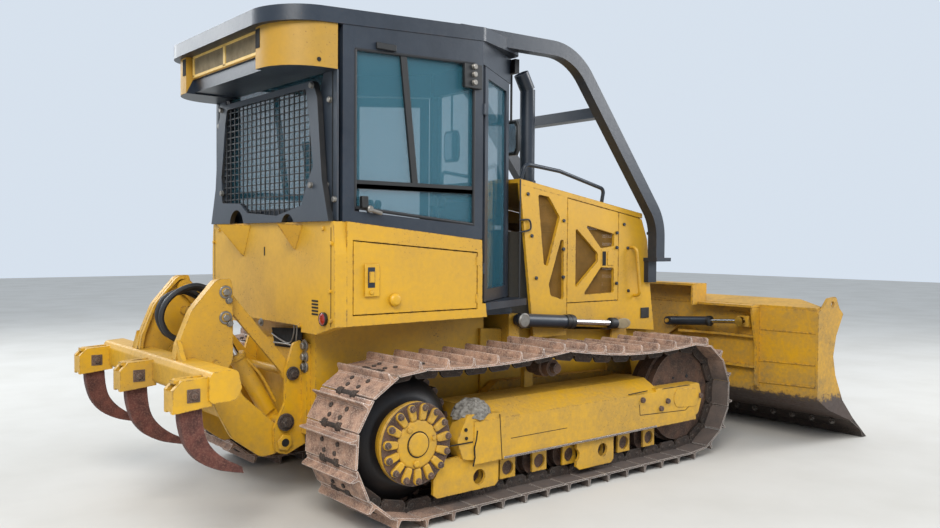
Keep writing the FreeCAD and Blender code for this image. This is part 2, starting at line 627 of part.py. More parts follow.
def nose_reach(z):
    """Reach of the nose's front face at height z."""
    for (x0, z0), (x1, z1) in zip(grille_outline, grille_outline[1:]):
        low, high = size(z1).number, size(z0).number
        if low <= z <= high:
            return size(x1) + (size(x0) - x1) * ((z - low) / (high - low))


slats = [block(f"grille_slat_{k}", (nose_reach(906 + grille_step * k) - 24, nose_reach(906 + grille_step * k) - 10),
               (-grille_edge, grille_edge), (888 + grille_step * k, 924 + grille_step * k)) for k in range(11)]
grille_sides = [side_plate(f"grille_side_{k}", y, y + 20, [
    (nose_reach(z) - shift, z) for z, shift in ((880.3, 8), (1092, 8), (1452, 8), (1559.7, 8), (1559.7, 26),
                                                (1452, 26), (1092, 26), (880.3, 26))])
    for k, y in enumerate((-grille_edge, grille_edge - 20))]
node("front_grille", [fuse("front_grille_body", slats + grille_sides)])

stack_foot = (S["stack_reach"], -S["stack_side"], hood_line(S["stack_reach"] - S["stack_radius"]) + 0.3)
stack_top = (S["stack_reach"], -S["stack_side"], size(2440))
stack_tip = (S["stack_reach"] - 60, -S["stack_side"], size(2542))
stack = fuse("stack_pipe", [shaft("stack_riser", stack_foot, stack_top, S["stack_radius"]),
                            shaft("stack_bend", stack_top, stack_tip, S["stack_radius"])])
node("exhaust_stack", [cut("exhaust_pipe", stack, [shaft("stack_bore", (
    S["stack_reach"] - 8, -S["stack_side"], size(2452)), (S["stack_reach"] - 66, -S["stack_side"], size(2552)),
    S["stack_radius"] - 5)])])


# Rear body: tank across the back, fenders with access doors, cab floor and platforms

tank_outline = [(-S["body_half"], S["body_low"]), (-560, 952), (560, 952), (S["body_half"], S["body_low"]),
                (S["body_half"], S["body_top"] - 165), (S["body_half"] - 14, S["body_top"]),
                (-S["body_half"] + 14, S["body_top"]), (-S["body_half"], S["body_top"] - 165)]
tank_block = cross_plate("tank_block", -S["body_rear"], S["tank_front"], tank_outline)
node("rear_tank", [cut("rear_tank_shell", tank_block, [block(
    "tank_case_room", (-S["body_rear"] - 5, S["tank_front"] + 5), (-S["case_half"] - 6, S["case_half"] + 6),
    (900, S["case_top"] + 0.3))])])

fender_rear = S["tank_front"] + S["pin_gap"]
fender_drop = (S["body_top"] - S["body_front_top"]) / (S["fender_front"] - 20 - S["tank_front"])


def fender_line(x):
    """Height of the fender's top at x."""
    return S["body_top"] - (size(x) - S["tank_front"]) * fender_drop


fender_block = side_plate("fender_block", S["fender_inner"], S["body_half"], [
    (fender_rear, S["body_low"]), (S["fender_front"] + 20, S["body_low"] + 4), (S["fender_front"] + 10, 1084),
    (S["fender_front"] - 16, 1084), (S["fender_front"] - 16, 1336), (S["fender_front"] - 20, S["body_front_top"]), (fender_rear, fender_line(fender_rear))])
locker_rear = S["tank_front"] + 34
locker_front = S["fender_front"] - 50
locker_outline = [(locker_rear, 1055), (locker_front, 1055), (locker_front, 1375), (locker_rear, 1438)]
locker = side_plate("locker", S["body_half"] - 170, S["body_half"] + 1, locker_outline)
pair("fenders", cut("fender_shell", fender_block, [locker]))
gap = S["door_gap"]
access = side_plate("access_door_panel", S["body_half"] - 20, S["body_half"] - 2, [
    (locker_rear + gap, 1055 + gap), (locker_front - gap, 1055 + gap), (locker_front - gap, 1375 - gap),
    (locker_rear + gap, 1438 - gap)])
both_sides("access_door", fuse("access_door_body", [access, *knuckles(
    "access_hinge", locker_front - gap, S["body_half"] - 2, ((1090, 1140), (1300, 1350)), gap - S["pin_gap"])]))

floor = flat_plate("floor_plate", S["case_top"] + 0.3, S["case_top"] + 30, [
    (fender_rear, -S["fender_inner"] + 0.3), (1150, -S["fender_inner"] + 0.3),
    (1150, S["fender_inner"] - 0.3), (fender_rear, S["fender_inner"] - 0.3)])
node("cab_floor", [floor])
step = flat_plate("platform_plate", S["case_top"] + 60, S["case_top"] + 100, [
    (S["fender_front"] + 30, 440), (1160, 440), (1160, 560, 30), (S["fender_front"] + 60, 730, 30),
    (S["fender_front"] + 30, 730)])
step_leg = block("platform_leg", (S["fender_front"] + 60, 1100), (S["fender_inner"], 470),
                 (S["case_top"] + 0.3, S["case_top"] + 70))
pair("platforms", fuse("platform_body", [step, step_leg]))


# Cab: lower frame on the fenders, pillars, roof beam, glass, two angled front doors

def window_top(x):
    """Height of the side windows' upper edge at x."""
    return S["window_top"] + (size(x) + S["cab_rear"]) * S["window_climb"]


def roof_line(x):
    """Height of the roof's underside at x: it climbs forwards."""
    return S["roof_low"] + (size(x) + S["cab_rear"]) * S["roof_climb"]


def over_roof_line(name):
    """All the space above a line a fit gap under the roof."""
    rear = -S["roof_rear"]
    front = S["roof_front"] + 100
    return side_plate(name, -S["body_half"], S["body_half"], [
        (rear, roof_line(rear) - S["pin_gap"]), (front, roof_line(front) - S["pin_gap"]),
        (front, S["post_top"] + 60), (rear, S["post_top"] + 60)])


sill = side_plate("cab_sill", S["body_half"] - 62, S["body_half"] - 10, [
    (-S["cab_rear"], S["body_top"] + 0.3), (S["tank_front"], S["body_top"] + 0.3),
    (S["pillar_front"] - 20, fender_line(S["pillar_front"] - 20) + 0.3), (S["pillar_front"] - 20, 1520),
    (-S["cab_rear"], 1590)])
rear_post = block("rear_post", (-S["cab_rear"], -S["cab_rear"] + 70), (S["body_half"] - 150, S["body_half"] - 10),
                  (1560, S["post_top"]))
middle_post = block("middle_post", (S["pillar_front"] - 60, S["pillar_front"]),
                    (S["body_half"] - 70, S["body_half"] - 10),
                    (fender_line(S["pillar_front"] - 60) + 0.3, S["post_top"]))
front_post = flat_plate("front_post", S["case_top"] + 30.3, S["post_top"], [
    (S["door_front_reach"] - 10, S["door_front_half"] - 10), (S["door_front_reach"] + 40, S["door_front_half"] - 45),
    (S["door_front_reach"] + 40, S["door_front_half"] - 85), (S["door_front_reach"] - 30, S["door_front_half"] - 65)])
beam = side_plate("roof_beam", S["body_half"] - 80, S["body_half"] - 10, [
    (-S["cab_rear"], window_top(-S["cab_rear"])), (S["pillar_front"], window_top(S["pillar_front"])),
    (S["pillar_front"], S["post_top"]), (-S["cab_rear"], S["post_top"])])
front_beam = flat_plate("front_beam", window_top(S["pillar_front"]), S["post_top"], [
    (S["pillar_front"] - 60, S["body_half"] - 10), (S["pillar_front"], S["body_half"] - 10),
    (S["door_front_reach"] + 40, S["door_front_half"] - 20), (S["door_front_reach"] + 40, 0),
    (S["door_front_reach"] - 20, 0), (S["door_front_reach"] - 20, S["door_front_half"] - 50),
    (S["pillar_front"] - 60, S["body_half"] - 80)])
rear_beams = [block(f"rear_beam_{k}", (-S["cab_rear"], -S["cab_rear"] + 50),
                    (-S["body_half"] + 10, S["body_half"] - 10), span)
              for k, span in enumerate(((1531.3, 1610), (window_top(-S["cab_rear"]), S["post_top"])))]
window_bar = block("side_window_bar", (-S["cab_rear"] + 60, S["pillar_front"] - 50),
                   (S["body_half"] - 27.7, S["body_half"] - 12), (1700, 1722))
cab_half = fuse("cab_half", [sill, rear_post, middle_post, front_post, beam, front_beam, window_bar])
cowl = block("cowl", (S["door_front_reach"] - 10, S["door_front_reach"] + 40),
             (-S["door_front_half"] + 50, S["door_front_half"] - 50), (S["case_top"] + 30.3, 1700))
cab_solid = fuse("cab_frame_solid", [cab_half, mirror("cab_half_right", cab_half), *rear_beams, cowl])
node("cab_frame", [cut("cab_frame_body", cab_solid, [over_roof_line("cab_over")])])

side_glass = side_plate("side_glass", S["body_half"] - 40, S["body_half"] - 28, [
    (-S["cab_rear"] + 70.3, 1600), (S["pillar_front"] - 60.3, 1524),
    (S["pillar_front"] - 60.3, window_top(S["pillar_front"] - 60) - S["pin_gap"]),
    (-S["cab_rear"] + 70.3, window_top(-S["cab_rear"] + 70) - S["pin_gap"])])
windshield = block("windshield_glass", (S["door_front_reach"] + 6, S["door_front_reach"] + 18),
                   (-S["door_front_half"] + 85.5, S["door_front_half"] - 85.5),
                   (1700.3, window_top(S["pillar_front"]) - S["pin_gap"]))
rear_glass = block("rear_glass", (-S["cab_rear"] + 14, -S["cab_rear"] + 26),
                   (-S["body_half"] + 150.3, S["body_half"] - 150.3),
                   (1610.3, window_top(-S["cab_rear"]) - S["pin_gap"]))
node("cab_windows", [side_glass, mirror("side_glass_right", side_glass), windshield, rear_glass])


def door_plan(inner, outer, start, stop):
    """Plan of the angled door between two depths behind its outer face and two shares of its length."""
    hinge = (S["pillar_front"] + 8, S["body_half"] - 10)
    lock = (S["door_front_reach"] + 10, S["door_front_half"] + 4)
    length = math.hypot(lock[0].number - hinge[0].number, lock[1].number - hinge[1].number)
    across = ((lock[1].number - hinge[1].number) / length, -(lock[0].number - hinge[0].number) / length)
    return [(hinge[0] + (lock[0] - hinge[0]) * share + across[0] * depth,
             hinge[1] + (lock[1] - hinge[1]) * share + across[1] * depth)
            for share, depth in ((start, outer), (stop, outer), (stop, inner), (start, inner))]


door_low, door_high = S["case_top"] + 106, window_top(S["pillar_front"]) - S["door_gap"]
door_bars = [flat_plate(f"door_bar_{k}", low, high, door_plan(40, 0, start, stop))
             for k, (low, high, start, stop) in enumerate((
                 (door_low, door_high, 0.045, 0.15), (door_low, door_high, 0.87, 0.98),
                 (door_low, door_low + 70, 0.045, 0.98), (door_high - 60, door_high, 0.045, 0.98)))]
strap_spans = ((1250, 1310), (2150, 2210))
straps = [flat_plate(f"door_strap_{k}", low, high, door_plan(7, -5, 0, 0.08)) for k, (low, high) in enumerate(strap_spans)]
pins = knuckles("door_hinge", S["pillar_front"] + 8, S["body_half"] - 10, strap_spans, 8 - S["pin_gap"])
both_sides("cab_door", fuse("cab_door_frame", [*door_bars, *straps, *pins]))
both_sides("cab_door_glass", flat_plate("door_pane", door_low + 70.3, door_high - 60.3, door_plan(26, 14, 0.151, 0.869)))

node("seat", [fuse("seat_body", [block("seat_base", (150, 500), (-200, 200), (S["case_top"] + 30.3, 1330)),
                                 block("seat_pad", (120, 640), (-260, 260), (1330, 1440)),
                                 side_plate("seat_back", -240, 240, [(60, 1430), (190, 1440), (100, 2050), (0, 2050)])])])
console = block("console_box", (250, 760), (300, S["fender_inner"] - 10), (S["case_top"] + 30.3, 1560))
pair("consoles", console)


# Roof, air conditioning housing, rear screen and limb risers

roof_plan = [(-S["roof_rear"], -S["roof_half"], 250), (S["pillar_front"] + 10, -S["roof_half"], 60),
             (S["roof_front"] + 20, -S["door_front_half"] - 60, 90), (S["roof_front"] + 20, S["door_front_half"] + 60, 90),
             (S["pillar_front"] + 10, S["roof_half"], 60), (-S["roof_rear"], S["roof_half"], 250)]


def roof_slab(name, gap):
    """The roof panel's solid, with a gap added under and over it."""
    rear = -S["roof_rear"] - 10
    front = S["roof_front"] + 30
    slope = side_plate(name + "_slope", -S["roof_half"] - 5, S["roof_half"] + 5, [
        (rear, roof_line(rear) - gap), (front, roof_line(front) - gap),
        (front, roof_line(front) + S["roof_thick"] + gap), (rear, roof_line(rear) + S["roof_thick"] + gap)])
    return common(name, slope, flat_plate(name + "_plan", 2400, 2800, roof_plan))


node("roof", [roof_slab("roof_panel", size(0))])
housing_front = -S["cab_rear"] - 6
housing_box = block("housing_box", (-560, housing_front), (-462, 462), (2362, 2520))
housing_tray = block("housing_tray", (-548, housing_front), (-458, 458), (2291, 2370))
housing_cover = flat_plate("housing_cover", 2282, 2520, [
    (-296, 455), (-296, 735), (-600, 735, 235), (-600, 455)])
housing_solid = fuse("housing_solid", [housing_box, housing_tray, housing_cover,
                                       mirror("housing_cover_right", housing_cover)])
node("ac_housing", [cut("housing_body", housing_solid, [over_roof_line("housing_over")])])

screen_face = -S["body_rear"]
screen_bars = []
for k in range(int(N["screen_uprights"])):
    y = -513 + 57 * k
    foot = 1640 if y > 230 else 1556 if y > -250 else 1580
    screen_bars.append(block(f"screen_upright_{k}", (screen_face - 10, screen_face - 4), (y - 3, y + 3),
                             (foot, 2225)))
for k in range(int(N["screen_levels"])):
    z = 1600 + 37 * k
    reach = ((-440, 245), (-475, 325), (-575, 575))[min(k, 2)]
    screen_bars.append(block(f"screen_level_{k}", (screen_face - 7, screen_face - 1), reach, (z - 3, z + 3)))
screen_frame = cross_plate("screen_frame", screen_face - 20, screen_face + 10, [
    (-721, 1531.3), (721, 1531.3), (655, 1744), (628, 1965), (607, 2154, 30), (560, 2245, 20), (-560, 2245, 20),
    (-607, 2154, 30), (-628, 1965), (-655, 1744)],
    holes=[[(-438, 1614, 20), (-268, 1586), (-161, 1568), (204, 1590, 20), (307, 1648, 20), (556, 1656, 20),
            (566, 1815, 20), (510, 2130, 20), (485, 2214, 20), (-485, 2214, 20), (-510, 2130, 20),
            (-566, 1815, 20), (-500, 1720, 30)]])
screen_arches = [shaft(f"screen_arch_{k}", (screen_face - 30, y, z), (screen_face + 20, y, z), radius)
                 for k, (y, z, radius) in enumerate(((352, 1515, 95), (-288, 1500, 75)))]
screen_feet = [block(f"screen_foot_{k}", (-S["body_rear"] + 5, -S["cab_rear"] - 0.3), (y, y + 60), (1540, 1580))
               for k, y in enumerate((-700, 640))]
node("rear_screen", [fuse("rear_screen_body", [cut("screen_frame_arched", screen_frame, screen_arches),
                                               *screen_bars, *screen_feet])])

riser_outline = [(600, 2680), (1562, 2700, 450), (2465, 1601, 350), (2465, 1324), (2373, 1324), (2373, 1570, 258),
                 (1520, 2608, 358), (600, 2588)]
riser = side_plate("riser", S["riser_side"] - S["riser_wide"] / 2, S["riser_side"] + S["riser_wide"] / 2,
                   riser_outline)
riser_foot = block("riser_foot", (2370, 2530), (S["riser_side"] - 75, S["riser_side"] + 45), (1300, 1326))
riser_stay = block("riser_stay", (2380, 2470), (S["hood_half"] + 0.3, S["hood_half"] + 40), (1150, 1310))
riser_tie = block("riser_tie", (1800, 1890), (-S["riser_side"], S["riser_side"]), (2265, 2335))
riser_side = fuse("riser_side_body", [riser, riser_foot, riser_stay])
riser_solid = fuse("limb_risers_solid", [riser_side, mirror("riser_side_right", riser_side), riser_tie])
node("limb_risers", [cut("limb_risers_body", riser_solid, [roof_slab("riser_roof_room", S["pin_gap"])])])


# Blade group: C-frame, yoke, blade and cutting edge

arm = side_plate("push_arm", S["arm_inner"], S["arm_outer"], [
    (S["trunnion_reach"] - 75, S["trunnion_height"] + 20, 50),
    (S["trunnion_reach"] - 60, S["trunnion_height"] - 75, 40), (1400, 420), (2300, S["cross_low"]), (2500, 285),
    (S["cross_front"] - 140, S["cross_low"]), (S["cross_front"] - 140, 580), (2650, 570), (2600, 470), (2545, 398),
    (2400, 448), (2200, 515), (1950, 560), (S["trunnion_reach"] + 20, S["trunnion_height"] + 80, 40)],
    rings=[(S["trunnion_reach"], S["trunnion_height"], S["trunnion_radius"] + S["pin_gap"])])
lug = side_plate("lift_lug", S["lift_side"] - 38, S["lift_side"] - 24, [
    (1960, 500), (2240, 480), (2150, S["lift_eye_height"] + 42, 30), (2040, S["lift_eye_height"] + 42, 30)])
lug_boss = shaft("lift_lug_boss", (S["lift_eye_reach"], S["lift_side"] - 38, S["lift_eye_height"]),
                 (S["lift_eye_reach"], S["lift_side"] - 23, S["lift_eye_height"]), 36)
angle_base = (S["angle_pin_reach"], S["angle_pin_side"])
angle_lug = block("angle_lug", (angle_base[0] - 34, S["cross_rear"] + 40), (angle_base[1] - 34, angle_base[1] + 34),
                  (560, 596))
angle_boss = shaft("angle_boss", (*angle_base, 590), (*angle_base, S["angle_height"] - 25.3), 34)
angle_pin = shaft("angle_pin", (*angle_base, 580), (*angle_base, S["angle_height"] + 40), 18)
arm_side = fuse("arm_side", [arm, lug, lug_boss, angle_lug, angle_boss, angle_pin])
cross = flat_plate("cross_box", S["cross_low"], 580, [
    (S["cross_rear"], -S["arm_outer"]), (S["cross_rear"] + 40, -S["arm_outer"]), (S["cross_front"], -300),
    (S["cross_front"], 300), (S["cross_rear"] + 40, S["arm_outer"]), (S["cross_rear"], S["arm_outer"])])
cross_top = block("cross_top", (S["cross_rear"], S["cross_front"]), (-225, 225), (560, 740))
nose_lugs = [flat_plate(f"nose_lug_{k}", low, low + 40, [
    (S["cross_front"] - 20, -120), (S["kingpin_reach"] - 20, -43), (S["kingpin_reach"] + 43, -43, 40),
    (S["kingpin_reach"] + 43, 43, 40), (S["kingpin_reach"] - 20, 43), (S["cross_front"] - 20, 120)])
    for k, low in enumerate((345, 590))]
kingpin = shaft("kingpin", (S["kingpin_reach"], 0, 345), (S["kingpin_reach"], 0, 630), S["kingpin_radius"])
node("c_frame", [fuse("c_frame_body", [arm_side, mirror("arm_side_right", arm_side), cross, cross_top, *nose_lugs,
                              kingpin])])

yoke_barrel = shaft("yoke_barrel", (S["kingpin_reach"], 0, 388), (S["kingpin_reach"], 0, 587), 44)
yoke_web = block("yoke_web", (S["kingpin_reach"], S["kingpin_reach"] + 60), (-30, 30), (388, 587))
yoke_plate = cross_plate("yoke_plate", S["kingpin_reach"] + 55, S["kingpin_reach"] + 78, [
    (-130, 370, 20), (130, 370, 20), (130, 620, 30), (-80, S["tilt_pin_height"] + 50, 30),
    (-S["tilt_pin_side"] - 50, S["tilt_pin_height"] + 50, 40),
    (-S["tilt_pin_side"] - 50, S["tilt_pin_height"] - 50, 30), (-130, 690, 20)])
yoke_bore = shaft("yoke_bore", (S["kingpin_reach"], 0, 300), (S["kingpin_reach"], 0, 700),
                  S["kingpin_radius"] + S["pin_gap"])
tilt_pin = shaft("tilt_pin", (S["kingpin_reach"] + 60, 0, S["tilt_height"]), (S["blade_back"] - 2, 0, S["tilt_height"]),
                 S["tilt_pin_radius"])
tilt_cyl_pin = shaft("tilt_cylinder_pin", (S["tilt_plane"] - 30, -S["tilt_pin_side"], S["tilt_pin_height"]),
                     (S["kingpin_reach"] + 60, -S["tilt_pin_side"], S["tilt_pin_height"]), 16)
node("blade_yoke", [fuse("blade_yoke_body", [cut("yoke_bored", fuse("yoke_solid", [yoke_barrel, yoke_web, yoke_plate]),
                                                 [yoke_bore]), tilt_pin, tilt_cyl_pin])])

blade_curve = [(3475, 931), (3380, 780), (3343, 640), (3377, 501), (3483, 311), (3633, 169)]
skin = side_plate("blade_skin", -S["blade_half"] + 18, S["blade_half"] - 18, [
    *blade_curve, (3600, 150), (3290, 262), (S["blade_back"] + 5, 352), (S["blade_back"], 700),
    (S["blade_back"], 965), (S["blade_back"] + 30, S["blade_top"])])
end_outline = [*blade_curve, (3600, 150), (3290, 262), (S["blade_back"], 352),
               (S["blade_back"], 960, 20), (3190, 985), (3262, 1050, 30), (3370, 1060, 30), (3420, 975)]
end_plate = side_plate("blade_end", S["blade_half"] - 18, S["blade_half"] - 0.2, end_outline,
                       rings=[(3325, 1008, 20)])
boss = shaft("blade_boss", (S["kingpin_reach"] + 80, 0, S["tilt_height"]), (S["blade_back"] + 20, 0, S["tilt_height"]), 100)
boss_bore = shaft("blade_boss_bore", (S["kingpin_reach"] + 60, 0, S["tilt_height"]),
                  (S["blade_back"] - 0.5, 0, S["tilt_height"]), S["tilt_pin_radius"] + S["pin_gap"])
shelves = [flat_plate(f"blade_shelf_{k}", z, z + 18, [
    (S["blade_back"] - 100, start), (S["blade_back"] + 10, start), (S["blade_back"] + 10, 930),
    (S["blade_back"] - 38, 930), (S["blade_back"] - 38, 590), (S["blade_back"] - 70, 400),
    (S["blade_back"] - 100, 345)]) for k, (z, start) in enumerate(((520, 240), (742, 282)))]
web = side_plate("blade_web", 918, 934, [(S["blade_back"] - 100, 965), (S["blade_back"] - 90, 900, 20),
                                         (S["blade_back"] - 40, 680, 20), (S["blade_back"] - 36, 400),
                                         (S["blade_back"] + 10, 360), (S["blade_back"] + 10, 965)])
roof_shelf = block("blade_roof_shelf", (S["blade_back"] - 110, S["blade_back"] + 10), (470, 934), (967, 983))
guard_side = side_plate("guard_side", 440, 456, [(S["blade_back"] - 155, 960), (S["blade_back"] - 155, 1100),
                                                 (S["blade_back"] - 120, 1122), (S["blade_back"] + 20, 1122),
                                                 (S["blade_back"] + 20, 960)])
blade_side = fuse("blade_side", [end_plate, *shelves, web, roof_shelf, guard_side])
guard_top = block("guard_top", (S["blade_back"] - 140, S["blade_back"] + 20), (-450, 450), (1106, 1122))
guard_back = block("guard_back", (S["blade_back"] + 6, S["blade_back"] + 22), (-450, 450), (950, 1120))
tilt_lug = block("tilt_lug", (S["tilt_plane"] + 38, S["blade_back"] + 10), (-S["tilt_eye_side"] - 50, -S["tilt_eye_side"] + 50),
                 (S["tilt_eye_height"] - 40, S["tilt_eye_height"] + 40))
moldboard = cut("moldboard", fuse("moldboard_solid", [
    skin, boss, blade_side, mirror("blade_side_right", blade_side), guard_top, guard_back, tilt_lug]), [boss_bore])
node("blade", [moldboard])
edge = side_plate("cutting_edge_bar", -S["blade_half"], S["blade_half"], [
    (3600.4, 149.3), (3633.3, 168.6), (S["blade_tip"], 0), (S["blade_tip"] - 30, 0), (S["blade_tip"] - 60, 7),
    (S["blade_tip"] - 90.4, 59.2)])
node("cutting_edge", [edge])


# Cylinders: a barrel with a closed end on its pin, and a rod with its eye

def point_between(start, stop, reach):
    """The point at a reach from start towards stop, each coordinate as a sheet size."""
    length = root_of_squares([b - a for a, b in zip(start, stop)])
    share = size(reach) / length
    return tuple(a + (b - a) * share for a, b in zip(start, stop))


def cylinder(name, pin, eye, barrel_length, push, pull, radius, pin_radius, axis, eye_width):
    """Barrel and rod of a hydraulic cylinder from its pin to its eye, with room to run out by push and in by pull."""
    pin = tuple(size(value) for value in pin)
    eye = tuple(size(value) for value in eye)
    end = point_between(pin, eye, barrel_length)
    rod_start = point_between(pin, eye, size(barrel_length) - push - S["rod_reserve"])
    inside = point_between(pin, eye, size(barrel_length) - push - pull - S["rod_reserve"] - 5)
    half = [value * (size(eye_width) / 2) for value in axis]
    head = shaft(name + "_head", [a - b for a, b in zip(pin, half)], [a + b for a, b in zip(pin, half)], pin_radius + 16)
    tube = shaft(name + "_tube", pin, end, radius)
    rod_room = shaft(name + "_rod_room", inside, point_between(pin, eye, size(barrel_length) + 5), radius * 0.5 + S["pin_gap"])
    pin_room = shaft(name + "_pin_room", [a - b * 3 for a, b in zip(pin, half)], [a + b * 3 for a, b in zip(pin, half)],
                     pin_radius + S["pin_gap"])
    flat_rooms = [shaft(f"{name}_flat_{k}", [a + b * s for a, b, s in zip(pin, half, (k, k, k))],
                        [a + b * s for a, b, s in zip(pin, half, (3 * k, 3 * k, 3 * k))], pin_radius + 30) for k in (-1, 1)]
    barrel = cut(name + "_barrel_body", fuse(name + "_barrel_solid", [head, tube]), [rod_room, pin_room, *flat_rooms])
    rod_bar = shaft(name + "_rod_bar", rod_start, eye, radius * 0.5)
    rod_eye = shaft(name + "_eye", [a - b for a, b in zip(eye, half)], [a + b for a, b in zip(eye, half)], 34)
    return barrel, fuse(name + "_rod_body", [rod_bar, rod_eye])


lift_barrel, lift_rod = cylinder(
    "lift_cylinder", (S["lift_pin_reach"], S["lift_side"], S["lift_pin_height"]),
    (S["lift_eye_reach"], S["lift_side"], S["lift_eye_height"]), S["lift_barrel"], S["lift_push"], S["lift_pull"],
    S["lift_radius"], 20, (0, 1, 0), 34)
pair("lift_barrels", lift_barrel)
pair("lift_rods", lift_rod)
angle_barrel, angle_rod = cylinder(
    "angle_cylinder", (S["angle_pin_reach"], S["angle_pin_side"], S["angle_height"]),
    (S["angle_eye_reach"], S["angle_eye_side"], S["angle_height"]), S["angle_barrel"], S["angle_push"],
    S["angle_pull"], S["angle_radius"], 18, (0, 0, 1), 50)
both_sides("angle_barrel", angle_barrel)
both_sides("angle_rod", angle_rod)
tilt_barrel, tilt_rod = cylinder(
    "tilt_cylinder", (S["tilt_plane"], -S["tilt_pin_side"], S["tilt_pin_height"]),
    (S["tilt_plane"], -S["tilt_eye_side"], S["tilt_eye_height"]), S["tilt_barrel"], S["tilt_push"], S["tilt_pull"],
    S["tilt_radius"], 16, (1, 0, 0), 36)
node("tilt_barrel", [tilt_barrel])
node("tilt_rod", [tilt_rod])


# Ripper: mount on the case, two links, beam with towers and pockets, shanks and cylinders

low_pin = (S["link_low_reach"], S["link_low_height"])
up_pin = (S["link_up_reach"], S["link_up_height"])
tower_low_pin = (low_pin[0] - S["link_back"], low_pin[1] + S["link_rise"])
tower_up_pin = (up_pin[0] - S["link_back"], up_pin[1] + S["link_rise"])
pin_hole = S["ripper_pin_radius"] + S["pin_gap"]


def cross_pin(name, place, half, radius=S["ripper_pin_radius"]):
    """Pin across the machine through (x, z)."""
    return shaft(name, (place[0], -half, place[1]), (place[0], half, place[1]), radius)


back_face = -S["case_rear"] - 0.3
mount_plate = side_plate("ripper_mount_plate", S["mount_inner"], S["mount_outer"], [
    (back_face, 900), (back_face - 70, 880, 20), (back_face - 115, 740, 30), (back_face - 120, 560), (-415, 430, 30),
    (-408, 305, 40), (-340, 285), (back_face, 330)])
mount_back = block("ripper_mount_back", (back_face - 24, back_face), (-S["mount_outer"] - 60, S["mount_outer"] + 60),
                   (390, 880))
mount_pins = [cross_pin("ripper_mount_low_pin", low_pin, S["mount_outer"] + 12),
              cross_pin("ripper_mount_cylinder_pin", (S["ripper_cyl_reach"], S["ripper_cyl_height"]),
                        S["mount_outer"] + 12),
              cross_pin("ripper_mount_up_pin", up_pin, S["mount_outer"] + 12)]
mount_solid = fuse("ripper_mount_body", [mount_plate, mirror("ripper_mount_plate_right", mount_plate), mount_back,
                                         *mount_pins])
node("ripper_mount", [mount_solid])

low_plate = side_plate("lower_link_plate", S["link_inner"], S["link_outer"], [
    (low_pin[0] + 45, 320, 40), (-400, 290), (-474, 284, 60), (-640, 408, 150), (-726, 573), (-795, 790, 40),
    (-770, 862, 40), (-690, 850, 40), (-575, 622), (low_pin[0] + 22, 402, 35)],
    rings=[(*low_pin, pin_hole), (*tower_low_pin, pin_hole)])
low_tie = cross_pin("lower_link_tie", (size(-585), size(520)), S["link_inner"] + 4, size(50))
node("ripper_lower_link", [fuse("lower_link_body", [low_plate, mirror("lower_link_plate_right", low_plate), low_tie])])

link_bar = [block("upper_link_bar", (up_pin[0] - 32, up_pin[0] + 32), (S["link_inner"], S["link_outer"]),
                  (up_pin[1], up_pin[1] + root_of_squares([S["link_back"], S["link_rise"]])))]
link_turn = FreeCAD.Rotation(FreeCAD.Vector(0, 1, 0), -math.degrees(math.atan2(N["link_back"], N["link_rise"])))
link_bar[0].setExpression("Placement.Base.x", None)
link_bar[0].setExpression("Placement.Base.z", None)
corner = link_turn.multVec(FreeCAD.Vector(-32, 0, 0))
link_bar[0].Placement = FreeCAD.Placement(
    FreeCAD.Vector(up_pin[0].number + corner.x, N["link_inner"], up_pin[1].number + corner.z), link_turn)
link_ends = [shaft(f"upper_link_end_{k}", (place[0], S["link_inner"], place[1]), (place[0], S["link_outer"], place[1]), 44)
             for k, place in enumerate((up_pin, tower_up_pin))]
link_holes = [cross_pin(f"upper_link_hole_{k}", place, size(400), pin_hole) for k, place in enumerate((up_pin, tower_up_pin))]
pair("ripper_upper_links", cut("upper_link_body", fuse("upper_link_solid", link_bar + link_ends), link_holes))

beam = side_plate("ripper_beam_box", -S["beam_half"], S["beam_half"], [
    (-S["beam_rear"], S["beam_low"], 25), (-S["beam_front"] - 25, S["beam_low"] + 8, 25),
    (-S["beam_front"], S["beam_low"] + 62, 20), (-S["beam_front"] - 20, S["beam_top"], 30),
    (-S["beam_rear"] + 17, S["beam_top"] - 8, 20), (-S["beam_rear"], S["beam_top"] - 40, 20)])
tower_plate = side_plate("ripper_tower", S["mount_inner"], S["tower_outer"], [
    (-650, 1190), (-662, 1238, 15), (-735, 1236, 50), (-865, 1085, 150), (-935, 915), (-948, 845), (-948, 800),
    (-805, 745, 20), (-690, 745, 40), (-650, 830)])
tower_rim = side_plate("tower_rim", S["mount_inner"] - 30, S["mount_inner"] + 5, [
    (-700, 1235), (-734, 1234, 48), (-863, 1084, 148), (-933, 915), (-944, 846), (-926, 846), (-914, 918),
    (-848, 1095, 130), (-724, 1216, 30), (-700, 1217)])
tower_gusset = cross_plate("tower_gusset", -940, -917, [
    (S["tower_outer"] - 5, 840), (S["tower_outer"] + 70, 840), (S["tower_outer"] - 5, 940)])
tower = fuse("ripper_tower_side", [tower_plate, tower_rim, tower_gusset])
tower_pins = [cross_pin("tower_low_pin", tower_low_pin, S["tower_outer"] + 12),
              cross_pin("tower_up_pin", tower_up_pin, S["tower_outer"] + 12)]
tower_stub = shaft("tower_cylinder_stub", (S["ripper_eye_reach"], S["mount_inner"] - 8, S["ripper_eye_height"]),
                   (S["ripper_eye_reach"], S["tower_outer"] + 12, S["ripper_eye_height"]), S["ripper_pin_radius"])
pockets = []
shanks = []
shank_outline = [(-1100, 800), (-1096, 655), (-1083, 547, 90), (-945, 399, 60), (-791, 355), (-800, 385), (-870, 435, 60),
                 (-978, 545, 80), (-992, 651), (-992, 800)]
half_shank = S["shank_thick"] / 2
